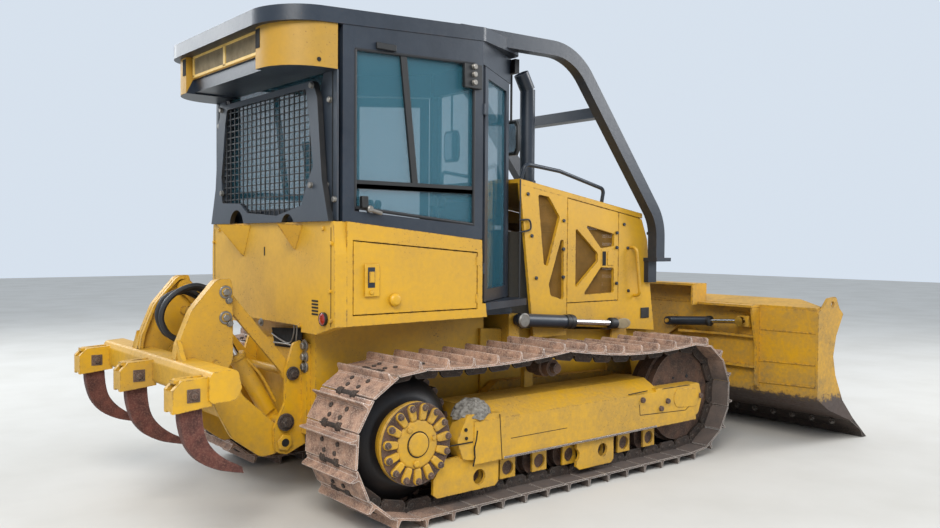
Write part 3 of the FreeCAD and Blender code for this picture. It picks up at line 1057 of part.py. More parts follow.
for k in (-1, 0, 1):
    place = S["shank_spread"] * k
    shanks.append(side_plate(f"shank_{k + 1}", place - half_shank, place + half_shank, shank_outline))
    for sign in (-1, 1):
        low = place + (half_shank + 0.3 + S["pocket_wall"] / 2) * sign - S["pocket_wall"] / 2
        pockets.append(side_plate(f"pocket_wall_{k + 1}_{sign + 1}", low, low + S["pocket_wall"], [
            (-S["ripper_rear"], 672), (-S["beam_rear"] + 20, 690), (-S["beam_rear"] + 20, 822), (-1095, 815),
            (-S["ripper_rear"], 775)]))
    pockets.append(block(f"pocket_back_{k + 1}", (-S["ripper_rear"], -1100.3),
                         (place - half_shank - 1, place + half_shank + 1), (680, 770)))
    pockets.append(block(f"pocket_cap_{k + 1}", (-1120, -S["beam_rear"] + 10),
                         (place - half_shank - 1, place + half_shank + 1), (800.3, 815)))
node("ripper_beam", [fuse("ripper_beam_body", [beam, tower, mirror("ripper_tower_right", tower), *tower_pins, tower_stub,
                                               mirror("tower_stub_right", tower_stub), *pockets])])
node("ripper_shanks", shanks)
ripper_barrel, ripper_rod = cylinder(
    "ripper_cylinder", (S["ripper_cyl_reach"], S["ripper_cyl_side"], S["ripper_cyl_height"]),
    (S["ripper_eye_reach"], S["ripper_cyl_side"], S["ripper_eye_height"]), S["ripper_barrel"], S["ripper_push"],
    S["ripper_pull"], S["ripper_cyl_radius"], S["ripper_pin_radius"], (0, 1, 0), 60)
pair("ripper_barrels", ripper_barrel)
pair("ripper_rods", ripper_rod)


# Handrails, mirrors and work lights

def rail_bar(name, points, radius, bend):
    """Round bar along straight runs joined by arcs."""
    points = [FreeCAD.Vector(*point) for point in points]
    edges = []
    start = points[0]
    for before, here, after in zip(points, points[1:], points[2:]):
        back = (before - here).normalize()
        ahead = (after - here).normalize()
        half = back.getAngle(ahead) / 2
        first = here + back * (bend / math.tan(half))
        last = here + ahead * (bend / math.tan(half))
        middle = here + (back + ahead).normalize() * (bend / math.sin(half))
        on_arc = middle - (back + ahead).normalize() * bend
        edges += [Part.LineSegment(start, first).toShape(), Part.Arc(first, on_arc, last).toShape()]
        start = last
    edges.append(Part.LineSegment(start, points[-1]).toShape())
    path = Part.Wire(edges)
    round_section = Part.Wire(Part.makeCircle(radius, points[0], points[1] - points[0]))
    return formed(name, path.makePipeShell([round_section], True, False))


half = N["hood_half"]
top_rail = rail_bar("hood_rail_bar", [(1230, half - 60, hood_line(1230).number + 3.6), (1250, half - 40, 1930),
                                      (1560, half - 40, 1900), (1990, half - 40, 1800),
                                      (1990, half - 60, hood_line(1990).number + 3.6)], 13, 40)
side_rail = rail_bar("cheek_rail_bar", [(2230, half + 0.5, 1400), (2230, half + 55, 1400), (2275, half + 55, 1060),
                                        (2275, half + 0.5, 1060)], 11, 35)
node("handrails", [top_rail, mirror("hood_rail_right", top_rail), side_rail, mirror("cheek_rail_right", side_rail)])

mirror_arm = rail_bar("mirror_arm_bar", [(1174.8, 370, 2625), (1222, 400, 2620), (1222, 490, 2250),
                                         (1222, 490, 1900), (1200, 440, hood_line(1200).number + 6.5)], 8, 30)
mirror_head = cross_plate("mirror_head", 1226, 1246, [(435, 1925, 25), (560, 1925, 25), (560, 2140, 25),
                                                      (435, 2140, 25)])
pair("mirrors", fuse("mirror_body", [mirror_arm, mirror_head]))

work_light = block("work_light", (1160.6, 1196), (330, 430), (roof_line(1170) - 95, roof_line(1170) - 8))
lamp = shaft("rear_lamp", (-S["body_rear"] - 14, 651, 1039), (-S["body_rear"] - 0.3, 651, 1039), 34)
node("lights", [lamp, mirror("rear_lamp_right", lamp), work_light, mirror("work_light_right", work_light)])

os.makedirs("parts", exist_ok=True)
doc.recompute()
failed = [item.Name for item in doc.Objects if any(word in item.State for word in ("Invalid", "Error"))]
if failed:
    raise RuntimeError("features failed: " + ", ".join(failed))
for item in NODES:
    if item.Shape.isNull() or not item.Shape.isValid():
        raise RuntimeError("bad shape: " + item.Label)
    item.Shape.exportStep(f"parts/{item.Label}.step")
print(len(NODES), "sub-parts")
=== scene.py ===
# %% [markdown]
# # A small crawler dozer with a ripper
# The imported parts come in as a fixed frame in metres. This lesson dresses them: first the camera, floor and
# light, then the finishes, then the pieces that a plain solid leaves out, from the tracks up to the roof.

# %% Load the frame
import bpy
import bmesh
import math
import random
from mathutils import Matrix, Vector


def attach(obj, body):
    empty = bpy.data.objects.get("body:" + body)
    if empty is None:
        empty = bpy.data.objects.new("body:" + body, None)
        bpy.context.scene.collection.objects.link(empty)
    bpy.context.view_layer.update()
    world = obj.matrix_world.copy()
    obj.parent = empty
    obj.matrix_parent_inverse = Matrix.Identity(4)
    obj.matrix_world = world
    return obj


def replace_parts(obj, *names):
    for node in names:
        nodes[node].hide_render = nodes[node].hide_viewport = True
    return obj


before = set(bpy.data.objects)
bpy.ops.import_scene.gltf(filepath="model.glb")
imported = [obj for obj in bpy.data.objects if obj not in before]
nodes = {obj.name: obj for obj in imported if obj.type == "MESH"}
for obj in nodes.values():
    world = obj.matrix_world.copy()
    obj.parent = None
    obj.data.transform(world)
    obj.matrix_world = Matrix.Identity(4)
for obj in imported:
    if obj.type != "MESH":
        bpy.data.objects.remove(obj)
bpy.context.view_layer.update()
MIDDLE = 1357.5


def at(x, y, z):
    """A place in metres, from millimetres ahead of the sprocket's axis, left of the middle and up."""
    return Vector(((x - MIDDLE) / 1000, y / 1000, z / 1000))


# %% [markdown]
# ## Camera
# The photograph was taken by a standing person beside the right rear corner. The position, the turn and the
# lens were found by fitting measured corners of the machine, so the camera is set by numbers, not by eye.

# %% Camera
EYE = at(-2499.7, -4471.4, 1436.0)
YAW, PITCH, ROLL = 0.685405, 0.026458, 0.006281
FOCAL_PX, FRAME_PX, SENSOR_MM = 863.03, 940, 36.0

ahead = Vector((math.sin(YAW) * math.cos(PITCH), math.cos(YAW) * math.cos(PITCH), -math.sin(PITCH)))
side = Vector((math.cos(YAW), -math.sin(YAW), 0))
above = side.cross(ahead)
right = side * math.cos(ROLL) + above * math.sin(ROLL)
up = above * math.cos(ROLL) - side * math.sin(ROLL)
lens = bpy.data.cameras.new("camera")
lens.sensor_width = SENSOR_MM
lens.lens = FOCAL_PX * SENSOR_MM / FRAME_PX
camera = bpy.data.objects.new("camera", lens)
camera.matrix_world = Matrix.Translation(EYE) @ Matrix((right, up, -ahead)).transposed().to_4x4()
bpy.context.scene.collection.objects.link(camera)
bpy.context.scene.camera = camera
print("lens mm", round(lens.lens, 2))

# %% [markdown]
# ## Floor and light
# A wide flat pale floor, one big soft light high on the right, another from the front, a weaker one from
# behind and a bright even sky. Soft sources leave gentle shadows, as on the overcast lot of the photograph.


# %% Floor and light
def new_object(name, mesh):
    item = bpy.data.objects.new(name, mesh)
    bpy.context.scene.collection.objects.link(item)
    return item


def mesh_of(name, points, faces):
    mesh = bpy.data.meshes.new(name)
    mesh.from_pydata([tuple(p) for p in points], [], faces)
    mesh.update()
    return mesh


floor_reach = 30.0
floor = new_object("floor", mesh_of("floor", [(-floor_reach, -floor_reach, 0), (floor_reach, -floor_reach, 0),
                                              (floor_reach, floor_reach, 0), (-floor_reach, floor_reach, 0)],
                                    [(0, 1, 2, 3)]))


def soft_light(name, place, aim, size, power, tint):
    lamp = bpy.data.lights.new(name, "AREA")
    lamp.size = size
    lamp.energy = power
    lamp.color = tint
    item = bpy.data.objects.new(name, lamp)
    item.location = place
    item.rotation_euler = (Vector(aim) - Vector(place)).to_track_quat("-Z", "Y").to_euler()
    bpy.context.scene.collection.objects.link(item)


soft_light("key_light", (-6.0, -6.0, 7.0), (0, 0, 1), 4.0, 760, (1.0, 0.97, 0.92))
soft_light("front_light", (8.0, -5.0, 5.0), (0, 0, 1), 4.0, 500, (1.0, 1.0, 1.0))
soft_light("back_light", (-4.0, 7.5, 6.0), (0, 0, 1), 5.0, 450, (0.95, 0.98, 1.0))
sky = bpy.data.worlds.new("sky")
sky.use_nodes = True
sky.node_tree.nodes["Background"].inputs["Color"].default_value = (0.80, 0.89, 1.0, 1)
sky.node_tree.nodes["Background"].inputs["Strength"].default_value = 0.85
bpy.context.scene.world = sky
bpy.context.scene.view_settings.view_transform = "Standard"

# %% [markdown]
# ## Finishes
# Every finish is a small node tree on Object coordinates, so that its pattern stays put on the metal.
# Colours are written as on a screen, in hex, and one function turns them to linear light.


# %% Node helpers
NOISE, SPREAD, MATHS, MIX = "ShaderNodeTexNoise", "ShaderNodeMapRange", "ShaderNodeMath", "ShaderNodeMix"
SPLIT = "ShaderNodeSeparateXYZ"
TIMES = {"operation": "MULTIPLY", "use_clamp": True}
PLUS = {"operation": "ADD", "use_clamp": True}
COLOURS = {"data_type": "RGBA"}


def linear(code):
    """A hex colour as linear light."""
    parts = [int(code[i:i + 2], 16) / 255 for i in (1, 3, 5)]
    return tuple(c / 12.92 if c <= 0.04045 else ((c + 0.055) / 1.055) ** 2.4 for c in parts) + (1.0,)


def add(tree, kind, links=(), **settings):
    """Adds a node and sets it, then its inputs: to a number, a colour, a socket or a node's first open output."""
    item = tree.nodes.new(kind)
    for name, value in settings.items():
        setattr(item, name, value)
    for socket, value in dict(links).items():
        if isinstance(value, bpy.types.Node):
            value = next(output for output in value.outputs if output.enabled)
        if isinstance(value, bpy.types.NodeSocket):
            tree.links.new(value, item.inputs[socket])
        else:
            item.inputs[socket].default_value = value
    return item


def blank(name):
    material = bpy.data.materials.new(name)
    material.use_nodes = True
    tree = material.node_tree
    tree.nodes.clear()
    place = add(tree, "ShaderNodeTexCoord").outputs["Object"]
    return material, tree, place


def finish_with(tree, colour, rough, metal=0.0, bump=None, depth=0.0, **more):
    """Ends a tree with its surface, and with a relief of that depth in metres where a bump is given."""
    inputs = {"Base Color": colour, "Roughness": rough, "Metallic": metal}
    for name, value in more.items():
        inputs[name.replace("_", " ")] = value
    if bump is not None:
        inputs["Normal"] = add(tree, "ShaderNodeBump", {"Height": bump, "Distance": depth, "Strength": 1.0})
    shader = add(tree, "ShaderNodeBsdfPrincipled", inputs)
    add(tree, "ShaderNodeOutputMaterial", {"Surface": shader})


def edges(tree, reach_mm):
    """1 on sharp edges within reach_mm, where paint wears first: the rounded normal leaves the true one there."""
    soft = add(tree, "ShaderNodeBevel", {"Radius": reach_mm / 1000}, samples=4)
    true = add(tree, "ShaderNodeNewGeometry").outputs["Normal"]
    dot = add(tree, "ShaderNodeVectorMath", {0: soft, 1: true}, operation="DOT_PRODUCT")
    return add(tree, SPREAD, {"Value": dot, "From Min": 0.985, "From Max": 0.86})


print("white in linear light", linear("#FFFFFF"))

# %% [markdown]
# ### Enamels
# The body is sprayed with a two pack machine enamel: glossy when new, now dulled by dust. A picture of
# paint would blur up close, so noise does the work: broad clouds fade the colour, dust lies thickest below,
# and chips down to the rusty primer sit on edges and in small fields of pits. The scale of each noise is a
# real size.

# %% Enamels
PRIMER = "#4A342A"
DUST_TOP, DUST_FOOT = 1.6, 0.3


def enamel(name, paint, faded, dust, rough, dusty, chipped, scraped=0.0):
    """Faded, dusty and chipped paint, scraped to dark steel below a height in metres."""
    material, tree, place = blank(name)
    height = add(tree, SPLIT, {0: place}).outputs["Z"]
    broad = add(tree, NOISE, {"Vector": place, "Scale": 1000 / 420, "Detail": 4.0, "Roughness": 0.55})
    fine = add(tree, NOISE, {"Vector": place, "Scale": 1000 / 30, "Detail": 5.0, "Roughness": 0.65})
    speck = add(tree, NOISE, {"Vector": place, "Scale": 1000 / 9, "Detail": 2.0, "Roughness": 0.55})
    fading = add(tree, SPREAD, {"Value": broad, "From Min": 0.35, "From Max": 0.7})
    body = add(tree, MIX, {"Factor": fading, "A": linear(paint), "B": linear(faded)}, **COLOURS)

    low = add(tree, SPREAD, {"Value": height, "From Min": DUST_TOP, "From Max": DUST_FOOT, "To Min": 0.35})
    film = add(tree, MATHS, {0: broad, 1: fine}, **TIMES)
    film = add(tree, SPREAD, {"Value": film, "From Min": 0.14, "From Max": 0.36, "To Max": dusty})
    dirt = add(tree, MATHS, {0: film, 1: low}, **TIMES)
    body = add(tree, MIX, {"Factor": dirt, "A": body, "B": linear(dust)}, **COLOURS)

    rubbed = add(tree, SPREAD, {"Value": fine, "From Min": 0.46, "From Max": 0.60})
    worn = add(tree, MATHS, {0: edges(tree, 9), 1: rubbed}, **TIMES)
    pits = add(tree, SPREAD, {"Value": speck, "From Min": 0.66, "From Max": 0.70})
    fields = add(tree, SPREAD, {"Value": broad, "From Min": 0.50, "From Max": 0.62})
    spots = add(tree, MATHS, {0: pits, 1: fields}, **TIMES)
    chips = add(tree, MATHS, {0: worn, 1: spots}, **PLUS)
    chips = add(tree, MATHS, {0: chips, 1: chipped}, **TIMES)
    body = add(tree, MIX, {"Factor": chips, "A": body, "B": linear(PRIMER)}, **COLOURS)

    if scraped:
        ragged = add(tree, MATHS, {0: fine, 1: 0.22, 2: height}, operation="MULTIPLY_ADD")
        bare = add(tree, SPREAD, {"Value": ragged, "From Min": scraped + 0.14, "From Max": scraped + 0.10})
        steel = add(tree, MIX, {"Factor": broad, "A": linear("#2B2421"), "B": linear("#57453C")}, **COLOURS)
        body = add(tree, MIX, {"Factor": bare, "A": body, "B": steel}, **COLOURS)
    dull = add(tree, SPREAD, {"Value": dirt, "To Min": rough, "To Max": 0.85})
    chalk = add(tree, MATHS, {0: chips, 1: 0.3}, **TIMES)
    dull = add(tree, MATHS, {0: dull, 1: chalk}, **PLUS)
    finish_with(tree, body, dull, bump=fine, depth=0.0006)
    return material


MACHINE_YELLOW = enamel("yellow_machine_enamel", "#CB9A18", "#BF9020", "#967A42", 0.42, 0.6, 0.9)
BLADE_YELLOW = enamel("yellow_blade_enamel", "#C89412", "#B8881C", "#8A7244", 0.5, 0.9, 1.0)
SCRAPED_YELLOW = enamel("scraped_blade_enamel", "#C89412", "#B8881C", "#8A7244", 0.5, 0.9, 1.0, 0.345)
PALE_YELLOW = enamel("pale_yellow_enamel", "#E3BE6A", "#D9B25C", "#B59A62", 0.5, 0.6, 0.3)
# A darker yellow whose darkness is painted shade of the roof above, with the same dust and chips as the rest.
SHADED_YELLOW = enamel("painted_roof_shade_enamel", "#B08420", "#A67F28", "#7E6A3C", 0.5, 0.6, 0.5)
CHARCOAL = enamel("charcoal_satin_enamel", "#19212C", "#222B37", "#464A4C", 0.34, 0.2, 0.3)
GUARD_GREY = enamel("grey_guard_enamel", "#262E38", "#2F3741", "#56585A", 0.42, 0.3, 0.4)
ENGINE_GREY = enamel("engine_enamel", "#4A4A46", "#3C3A36", "#5E5547", 0.6, 0.9, 0.6)
print("charcoal nodes", len(CHARCOAL.node_tree.nodes))

# %% [markdown]
# ### Bare and rusted steel
# Track shoes and ripper shanks are rolled and forged steel. What touches the ground is polished bright, and
# the rest is brown with rust and dried mud. Two noises mix the browns, and the same edge finder that chips
# the paint makes the bright edges, here as metal. The lower run of a track, ahead of the sprocket, is painted
# dark grey as shade, by its place alone.

# %% Steels
# Where the painted shade of a track's low run starts and is full: two heights, then two places along the machine,
# in metres.
SHADE_TOP, SHADE_FOOT = 0.80, 0.50
SHADE_REAR, SHADE_FRONT = -1.42, -1.05


def rusty(name, dark, rust, mud, worn, polish, size_mm=60, painted_shade=None):
    """Rust and mud over steel, with bright edges; the last colour, if given, is painted shade on the low run ahead
    of the sprocket.
    """
    material, tree, place = blank(name)
    broad = add(tree, NOISE, {"Vector": place, "Scale": 1000 / size_mm, "Detail": 4.0, "Roughness": 0.55})
    fine = add(tree, NOISE, {"Vector": place, "Scale": 8000 / size_mm, "Detail": 5.0, "Roughness": 0.7})
    clouds = add(tree, SPREAD, {"Value": broad, "From Min": 0.35, "From Max": 0.65})
    body = add(tree, MIX, {"Factor": clouds, "A": linear(dark), "B": linear(rust)}, **COLOURS)
    caked = add(tree, SPREAD, {"Value": fine, "From Min": 0.48, "From Max": 0.72})
    body = add(tree, MIX, {"Factor": caked, "A": body, "B": linear(mud)}, **COLOURS)
    # Painted shade: low on the track and ahead of the sprocket, the steel turns dark grey by its place alone.
    if painted_shade:
        spot = add(tree, SPLIT, {0: place}).outputs
        below = add(tree, SPREAD, {"Value": spot["Z"], "From Min": SHADE_TOP, "From Max": SHADE_FOOT, "To Max": 0.88})
        before = add(tree, SPREAD, {"Value": spot["X"], "From Min": SHADE_REAR, "From Max": SHADE_FRONT})
        under = add(tree, MATHS, {0: below, 1: before}, **TIMES)
        body = add(tree, MIX, {"Factor": under, "A": body, "B": linear(painted_shade)}, **COLOURS)
    rubbed = add(tree, SPREAD, {"Value": fine, "From Min": 0.30, "From Max": 0.52, "To Max": polish})
    bright = add(tree, MATHS, {0: edges(tree, 8), 1: rubbed}, **TIMES)
    body = add(tree, MIX, {"Factor": bright, "A": body, "B": linear(worn)}, **COLOURS)
    rough = add(tree, SPREAD, {"Value": bright, "To Min": 0.82, "To Max": 0.36})
    metal = add(tree, MATHS, {0: bright, 1: 0.9}, **TIMES)
    finish_with(tree, body, rough, metal, bump=fine, depth=0.0012)
    return material


# The track steel's last colour is painted shade for its low run.
TRACK_STEEL = rusty("rusted_track_steel", "#6A5146", "#A9856F", "#C4AC98", "#EAE2DA", 1.0, 60, "#4A4441")
LINK_STEEL = rusty("oily_link_steel", "#211C1A", "#3A2C25", "#54463A", "#7D766F", 0.5)
RUST_STEEL = rusty("rusted_wheel_steel", "#3A2B25", "#5B4032", "#6E5A48", "#8F867C", 0.5)
SHANK_STEEL = rusty("forged_shank_steel", "#40201A", "#62352B", "#704C40", "#86706A", 0.5)
EDGE_STEEL = rusty("cutting_edge_steel", "#241F1D", "#3F322C", "#5B4F44", "#A09A92", 0.9)
print("track steel nodes", len(TRACK_STEEL.node_tree.nodes))

# %% [markdown]
# ### Moulded, plated and cast finishes
# Plastic housings, hoses, chrome rods and lenses have one colour each. A perfectly even colour looks like a
# toy, so a slow noise clouds it a little towards a second shade and moves its gloss by a tenth, and a finer
# one gives the relief of a mould, a casting or a weave.


# %% Plain finishes
def plain(name, code, rough, metal=0.0, size_mm=40, shade="#000000", share=0.25, depth=0.0003, **more):
    """One colour, clouded over size_mm by up to a share of a shade, with a fine relief."""
    material, tree, place = blank(name)
    cloud = add(tree, NOISE, {"Vector": place, "Scale": 1000 / size_mm, "Detail": 4.0, "Roughness": 0.55})
    fine = add(tree, NOISE, {"Vector": place, "Scale": 12000 / size_mm, "Detail": 2.0, "Roughness": 0.55})
    shaded = add(tree, SPREAD, {"Value": cloud, "From Min": 0.4, "From Max": 0.8, "To Max": share})
    body = add(tree, MIX, {"Factor": shaded, "A": linear(code), "B": linear(shade)}, **COLOURS)
    dull = add(tree, SPREAD, {"Value": cloud, "From Min": 0.3, "From Max": 0.7, "To Min": rough * 0.9,
                              "To Max": rough * 1.1})
    finish_with(tree, body, dull, metal, bump=fine, depth=depth, **more)
    return material


CHROME = plain("hard_chrome", "#C9CACB", 0.14, 1.0, depth=0.0)
BLACK_PLASTIC = plain("black_moulded_plastic", "#141516", 0.5, shade="#2A2A2A")
RUBBER = plain("black_hose_rubber", "#16181C", 0.55, size_mm=25, shade="#333030")
MESH_WIRE = plain("brown_mesh_wire", "#7E5A16", 0.7, size_mm=80, shade="#4A3818", share=0.5)
BLACK_WIRE = plain("black_guard_wire", "#17181A", 0.55, size_mm=80, shade="#3A3633", share=0.4)
SEAT_CLOTH = plain("woven_seat_cloth", "#1B1C1F", 0.95, size_mm=6, shade="#2E3034", share=0.8, depth=0.001)
BARE_STEEL = plain("zinc_plated_steel", "#8D8A84", 0.42, 0.85, size_mm=30, shade="#5B4A3C", share=0.5)
RED_LENS = plain("red_lamp_lens", "#8C1512", 0.2, size_mm=20, Coat_Weight=0.6)
DARK_STEEL = plain("oiled_cast_iron", "#1A191B", 0.45, 0.4, size_mm=70, shade="#2C2622", share=0.7)
DRY_MUD = plain("dry_grey_mud", "#B4AFA6", 0.95, size_mm=16, shade="#3E362C", share=1.0, depth=0.012)
CLEAR_LENS = plain("clear_lamp_lens", "#C8CCCE", 0.12, size_mm=20, Coat_Weight=0.6)
MIRROR_GLASS = plain("mirror_glass", "#B9C2C8", 0.04, 1.0, depth=0.0)
# A near black finish. In holes, slots, grooves, notches, creases and recesses it is painted shade, and it also
# draws the dark open seams.
DARK_INSIDE = plain("unlit_interior", "#0E0F10", 0.9)
TAN_GRILLE = plain("tan_grille", "#8E7F62", 0.7, size_mm=60, shade="#4E4535", share=0.5)
PALE_FLOOR = plain("pale_floor", "#C9C6C0", 0.85, size_mm=900, shade="#B4B0A8", share=0.5, depth=0.0)
floor.data.materials.append(PALE_FLOOR)
print("chrome nodes", len(CHROME.node_tree.nodes))

# %% [markdown]
# ### Cab glass
# The panes are toughened glass with a blue green body tint. Light that truly bends through thin panes is
# slow and noisy, so the glass is a glossy tint that lets part of what is behind through, and a film of dust
# dulls it in patches.

# %% Cab glass
CAB_GLASS, glass_tree, glass_place = blank("tinted_cab_glass")
film = add(glass_tree, NOISE, {"Vector": glass_place, "Scale": 1000 / 260, "Detail": 4.0, "Roughness": 0.55})
film = add(glass_tree, SPREAD, {"Value": film, "From Min": 0.45, "From Max": 0.85, "To Min": 0.02, "To Max": 0.14})
finish_with(glass_tree, linear("#3F7486"), film, Alpha=0.36, IOR=1.5, Specular_IOR_Level=0.8)
print("glass nodes", len(glass_tree.nodes))

# %% [markdown]
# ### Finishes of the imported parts
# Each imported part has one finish, so a table by finish is all it takes. Parts that are painted in two
# colours get their second one later, where their pieces are made.

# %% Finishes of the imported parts
BOTH_SIDES = ("_left", "_right")
FINISHES = {
    MACHINE_YELLOW: ["main_frame", "equalizer_bar", "hood_top", "hood_corners", "hood_cheeks", "radiator_guard",
                     "rear_tank", "fenders", "track_frames", "final_drives", "ripper_mount", "ripper_lower_link",
                     "ripper_upper_links", "ripper_beam", "ripper_barrels"]
                    + ["access_door" + side for side in BOTH_SIDES] + ["engine_door" + side for side in BOTH_SIDES],
    # The air conditioning housing's darker yellow is painted shade of the roof.
    SHADED_YELLOW: ["ac_housing"],
    BLADE_YELLOW: ["c_frame", "blade_yoke"],
    SCRAPED_YELLOW: ["blade"],
    CHARCOAL: ["platforms", "cab_frame", "roof", "limb_risers", "exhaust_stack", "handrails", "cab_floor",
               "lift_barrels", "tilt_barrel"]
              + ["cab_door" + side for side in BOTH_SIDES] + ["angle_barrel" + side for side in BOTH_SIDES],
    GUARD_GREY: ["rear_screen"],
    ENGINE_GREY: ["engine_block"],
    TRACK_STEEL: ["track_left", "track_right"],
    RUST_STEEL: ["sprockets", "track_rollers", "carrier_rollers", "idlers"],
    EDGE_STEEL: ["cutting_edge"],
    SHANK_STEEL: ["ripper_shanks"],
    CHROME: ["lift_rods", "angle_rod_left", "angle_rod_right", "tilt_rod", "ripper_rods"],
    CAB_GLASS: ["cab_windows", "cab_door_glass_left", "cab_door_glass_right"],
    BLACK_PLASTIC: ["consoles", "mirrors", "lights"],
    BLACK_WIRE: ["front_grille"],
    SEAT_CLOTH: ["seat"],
}
finish_of = {name: finish for finish, names in FINISHES.items() for name in names}
for name, item in nodes.items():
    item.data.materials.clear()
    item.data.materials.append(finish_of[name])
print("finished parts", len(finish_of))

# %% [markdown]
# ## Tools for the pieces
# A forge collects closed solids, in the millimetres of the drawing, and hands them over as one mesh. Faces
# are turned outward, and edges sharper than a limit stay hard.


# %% Forge
class Forge:
    """Closed solids for one piece, in millimetres like at()."""

    def __init__(self):
        self.points = []
        self.faces = []

    def loft(self, rings):
        """Joins rings of equally many points in order and closes both ends."""
        base, count = len(self.points), len(rings[0])
        for ring in rings:
            self.points += [at(*p) for p in ring]
        for r in range(len(rings) - 1):
            for k in range(count):
                a, b = base + r * count + k, base + r * count + (k + 1) % count
                self.faces.append((a, b, b + count, a + count))
        last = base + (len(rings) - 1) * count
        self.faces.append(tuple(range(base + count - 1, base - 1, -1)))
        self.faces.append(tuple(range(last, last + count)))

    def prism(self, axis, low, high, outline):
        """An outline in the other two axes, in x, y, z order, drawn along one axis."""
        spot = "xyz".index(axis)
        self.loft([[(*p[:spot], t, *p[spot:]) for p in outline] for t in (low, high)])

    def block(self, x, y, z):
        self.prism("z", *z, [(x[0], y[0]), (x[1], y[0]), (x[1], y[1]), (x[0], y[1])])

    def turned(self, start, along, profile, sides=20):
        """Rings given as (distance from start, radius) round the line."""
        axis = Vector(along).normalized()
        u = axis.orthogonal().normalized()
        v = axis.cross(u)
        turns = [2 * math.pi * k / sides for k in range(sides)]
        self.loft([[Vector(start) + axis * reach + (u * math.cos(t) + v * math.sin(t)) * radius
                    for t in turns] for reach, radius in profile])

    def tube(self, path, radius, sides=10):
        """A round bar along the path's points."""
        path = [Vector(p) for p in path]
        last = len(path) - 1
        turns = [2 * math.pi * k / sides for k in range(sides)]
        up, rings = None, []
        for i, point in enumerate(path):
            ahead = (path[min(i + 1, last)] - path[max(i - 1, 0)]).normalized()
            up = ahead.orthogonal() if up is None else up - ahead * up.dot(ahead)
            up.normalize()
            across = ahead.cross(up)
            rings.append([point + (up * math.cos(t) + across * math.sin(t)) * radius for t in turns])
        self.loft(rings)

    def mirrored(self):
        """Adds the same solids on the other side of the machine."""
        count = len(self.points)
        self.points += [Vector((p.x, -p.y, p.z)) for p in self.points]
        self.faces += [tuple(k + count for k in reversed(face)) for face in self.faces]
        return self

    def piece(self, name, material, body="machine", limit=35, bevel=0.0):
        """Makes the object, rounds its edges by bevel millimetres and lets it ride on a body."""
        item = new_object(name, mesh_of(name, self.points, self.faces))
        item.data.materials.append(material)
        work = bmesh.new()
        work.from_mesh(item.data)
        bmesh.ops.recalc_face_normals(work, faces=work.faces)
        for face in work.faces:
            face.smooth = True
        for edge in work.edges:
            edge.smooth = len(edge.link_faces) == 2 and edge.calc_face_angle(0) < math.radians(limit)
        work.to_mesh(item.data)
        work.free()
        if bevel:
            rounding = item.modifiers.new("rounding", "BEVEL")
            rounding.width = bevel / 1000
            rounding.segments = 2
            rounding.limit_method = "ANGLE"
        if body:
            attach(item, body)
        return item


def bent(points, steps=6):
    """A smooth path through points."""
    points = [Vector(p) for p in points]
    ends = [points[0] * 2 - points[1], *points, points[-1] * 2 - points[-2]]
    path = []
    for a, b, c, d in zip(ends, ends[1:], ends[2:], ends[3:]):
        for k in range(steps):
            t = k / steps
            path.append((b * 2 + (c - a) * t + (a * 2 - b * 5 + c * 4 - d) * t * t
                         + (b * 3 - a - c * 3 + d) * t ** 3) / 2)
    return path + [points[-1]]


# %% [markdown]
# ### A geometry nodes tree that repeats a thing
# Each point carries its own turn and size. The tree puts one copy of a thing on every point, spins bolts a
# little so that no two line up, and gives the result one finish. The evaluated mesh is kept as a plain
# piece.


# %% Repeat tree
repeat_tree = bpy.data.node_groups.new("repeat_on_points", "GeometryNodeTree")
for title, kind in (("Points", "NodeSocketGeometry"), ("Thing", "NodeSocketObject"),
                    ("Finish", "NodeSocketMaterial"), ("Spin", "NodeSocketFloat")):
    repeat_tree.interface.new_socket(name=title, in_out="INPUT", socket_type=kind)
repeat_tree.interface.new_socket(name="Pieces", in_out="OUTPUT", socket_type="NodeSocketGeometry")
given = add(repeat_tree, "NodeGroupInput").outputs
turn = add(repeat_tree, "GeometryNodeInputNamedAttribute", {"Name": "turn"}, data_type="FLOAT_VECTOR")
grow = add(repeat_tree, "GeometryNodeInputNamedAttribute", {"Name": "grow"}, data_type="FLOAT")
chance = add(repeat_tree, "FunctionNodeRandomValue", {3: given["Spin"], "Seed": 7}, data_type="FLOAT")
spin = add(repeat_tree, "FunctionNodeAxisAngleToRotation", {"Angle": chance.outputs[1]})
base_turn = add(repeat_tree, "FunctionNodeEulerToRotation", {"Euler": turn.outputs["Attribute"]})
full_turn = add(repeat_tree, "FunctionNodeRotateRotation", {
    "Rotation": base_turn.outputs[0], "Rotate By": spin.outputs[0]}, rotation_space="LOCAL")
source = add(repeat_tree, "GeometryNodeObjectInfo", {"Object": given["Thing"]})
copies = add(repeat_tree, "GeometryNodeInstanceOnPoints", {
    "Points": given["Points"], "Instance": source.outputs["Geometry"], "Rotation": full_turn.outputs[0],
    "Scale": grow.outputs["Attribute"]})
real = add(repeat_tree, "GeometryNodeRealizeInstances", {"Geometry": copies.outputs[0]})
shown = add(repeat_tree, "GeometryNodeSetMaterial", {
    "Geometry": real.outputs[0], "Material": given["Finish"]})
add(repeat_tree, "NodeGroupOutput", {"Pieces": shown.outputs[0]})
print("repeat tree", len(repeat_tree.nodes), "nodes")


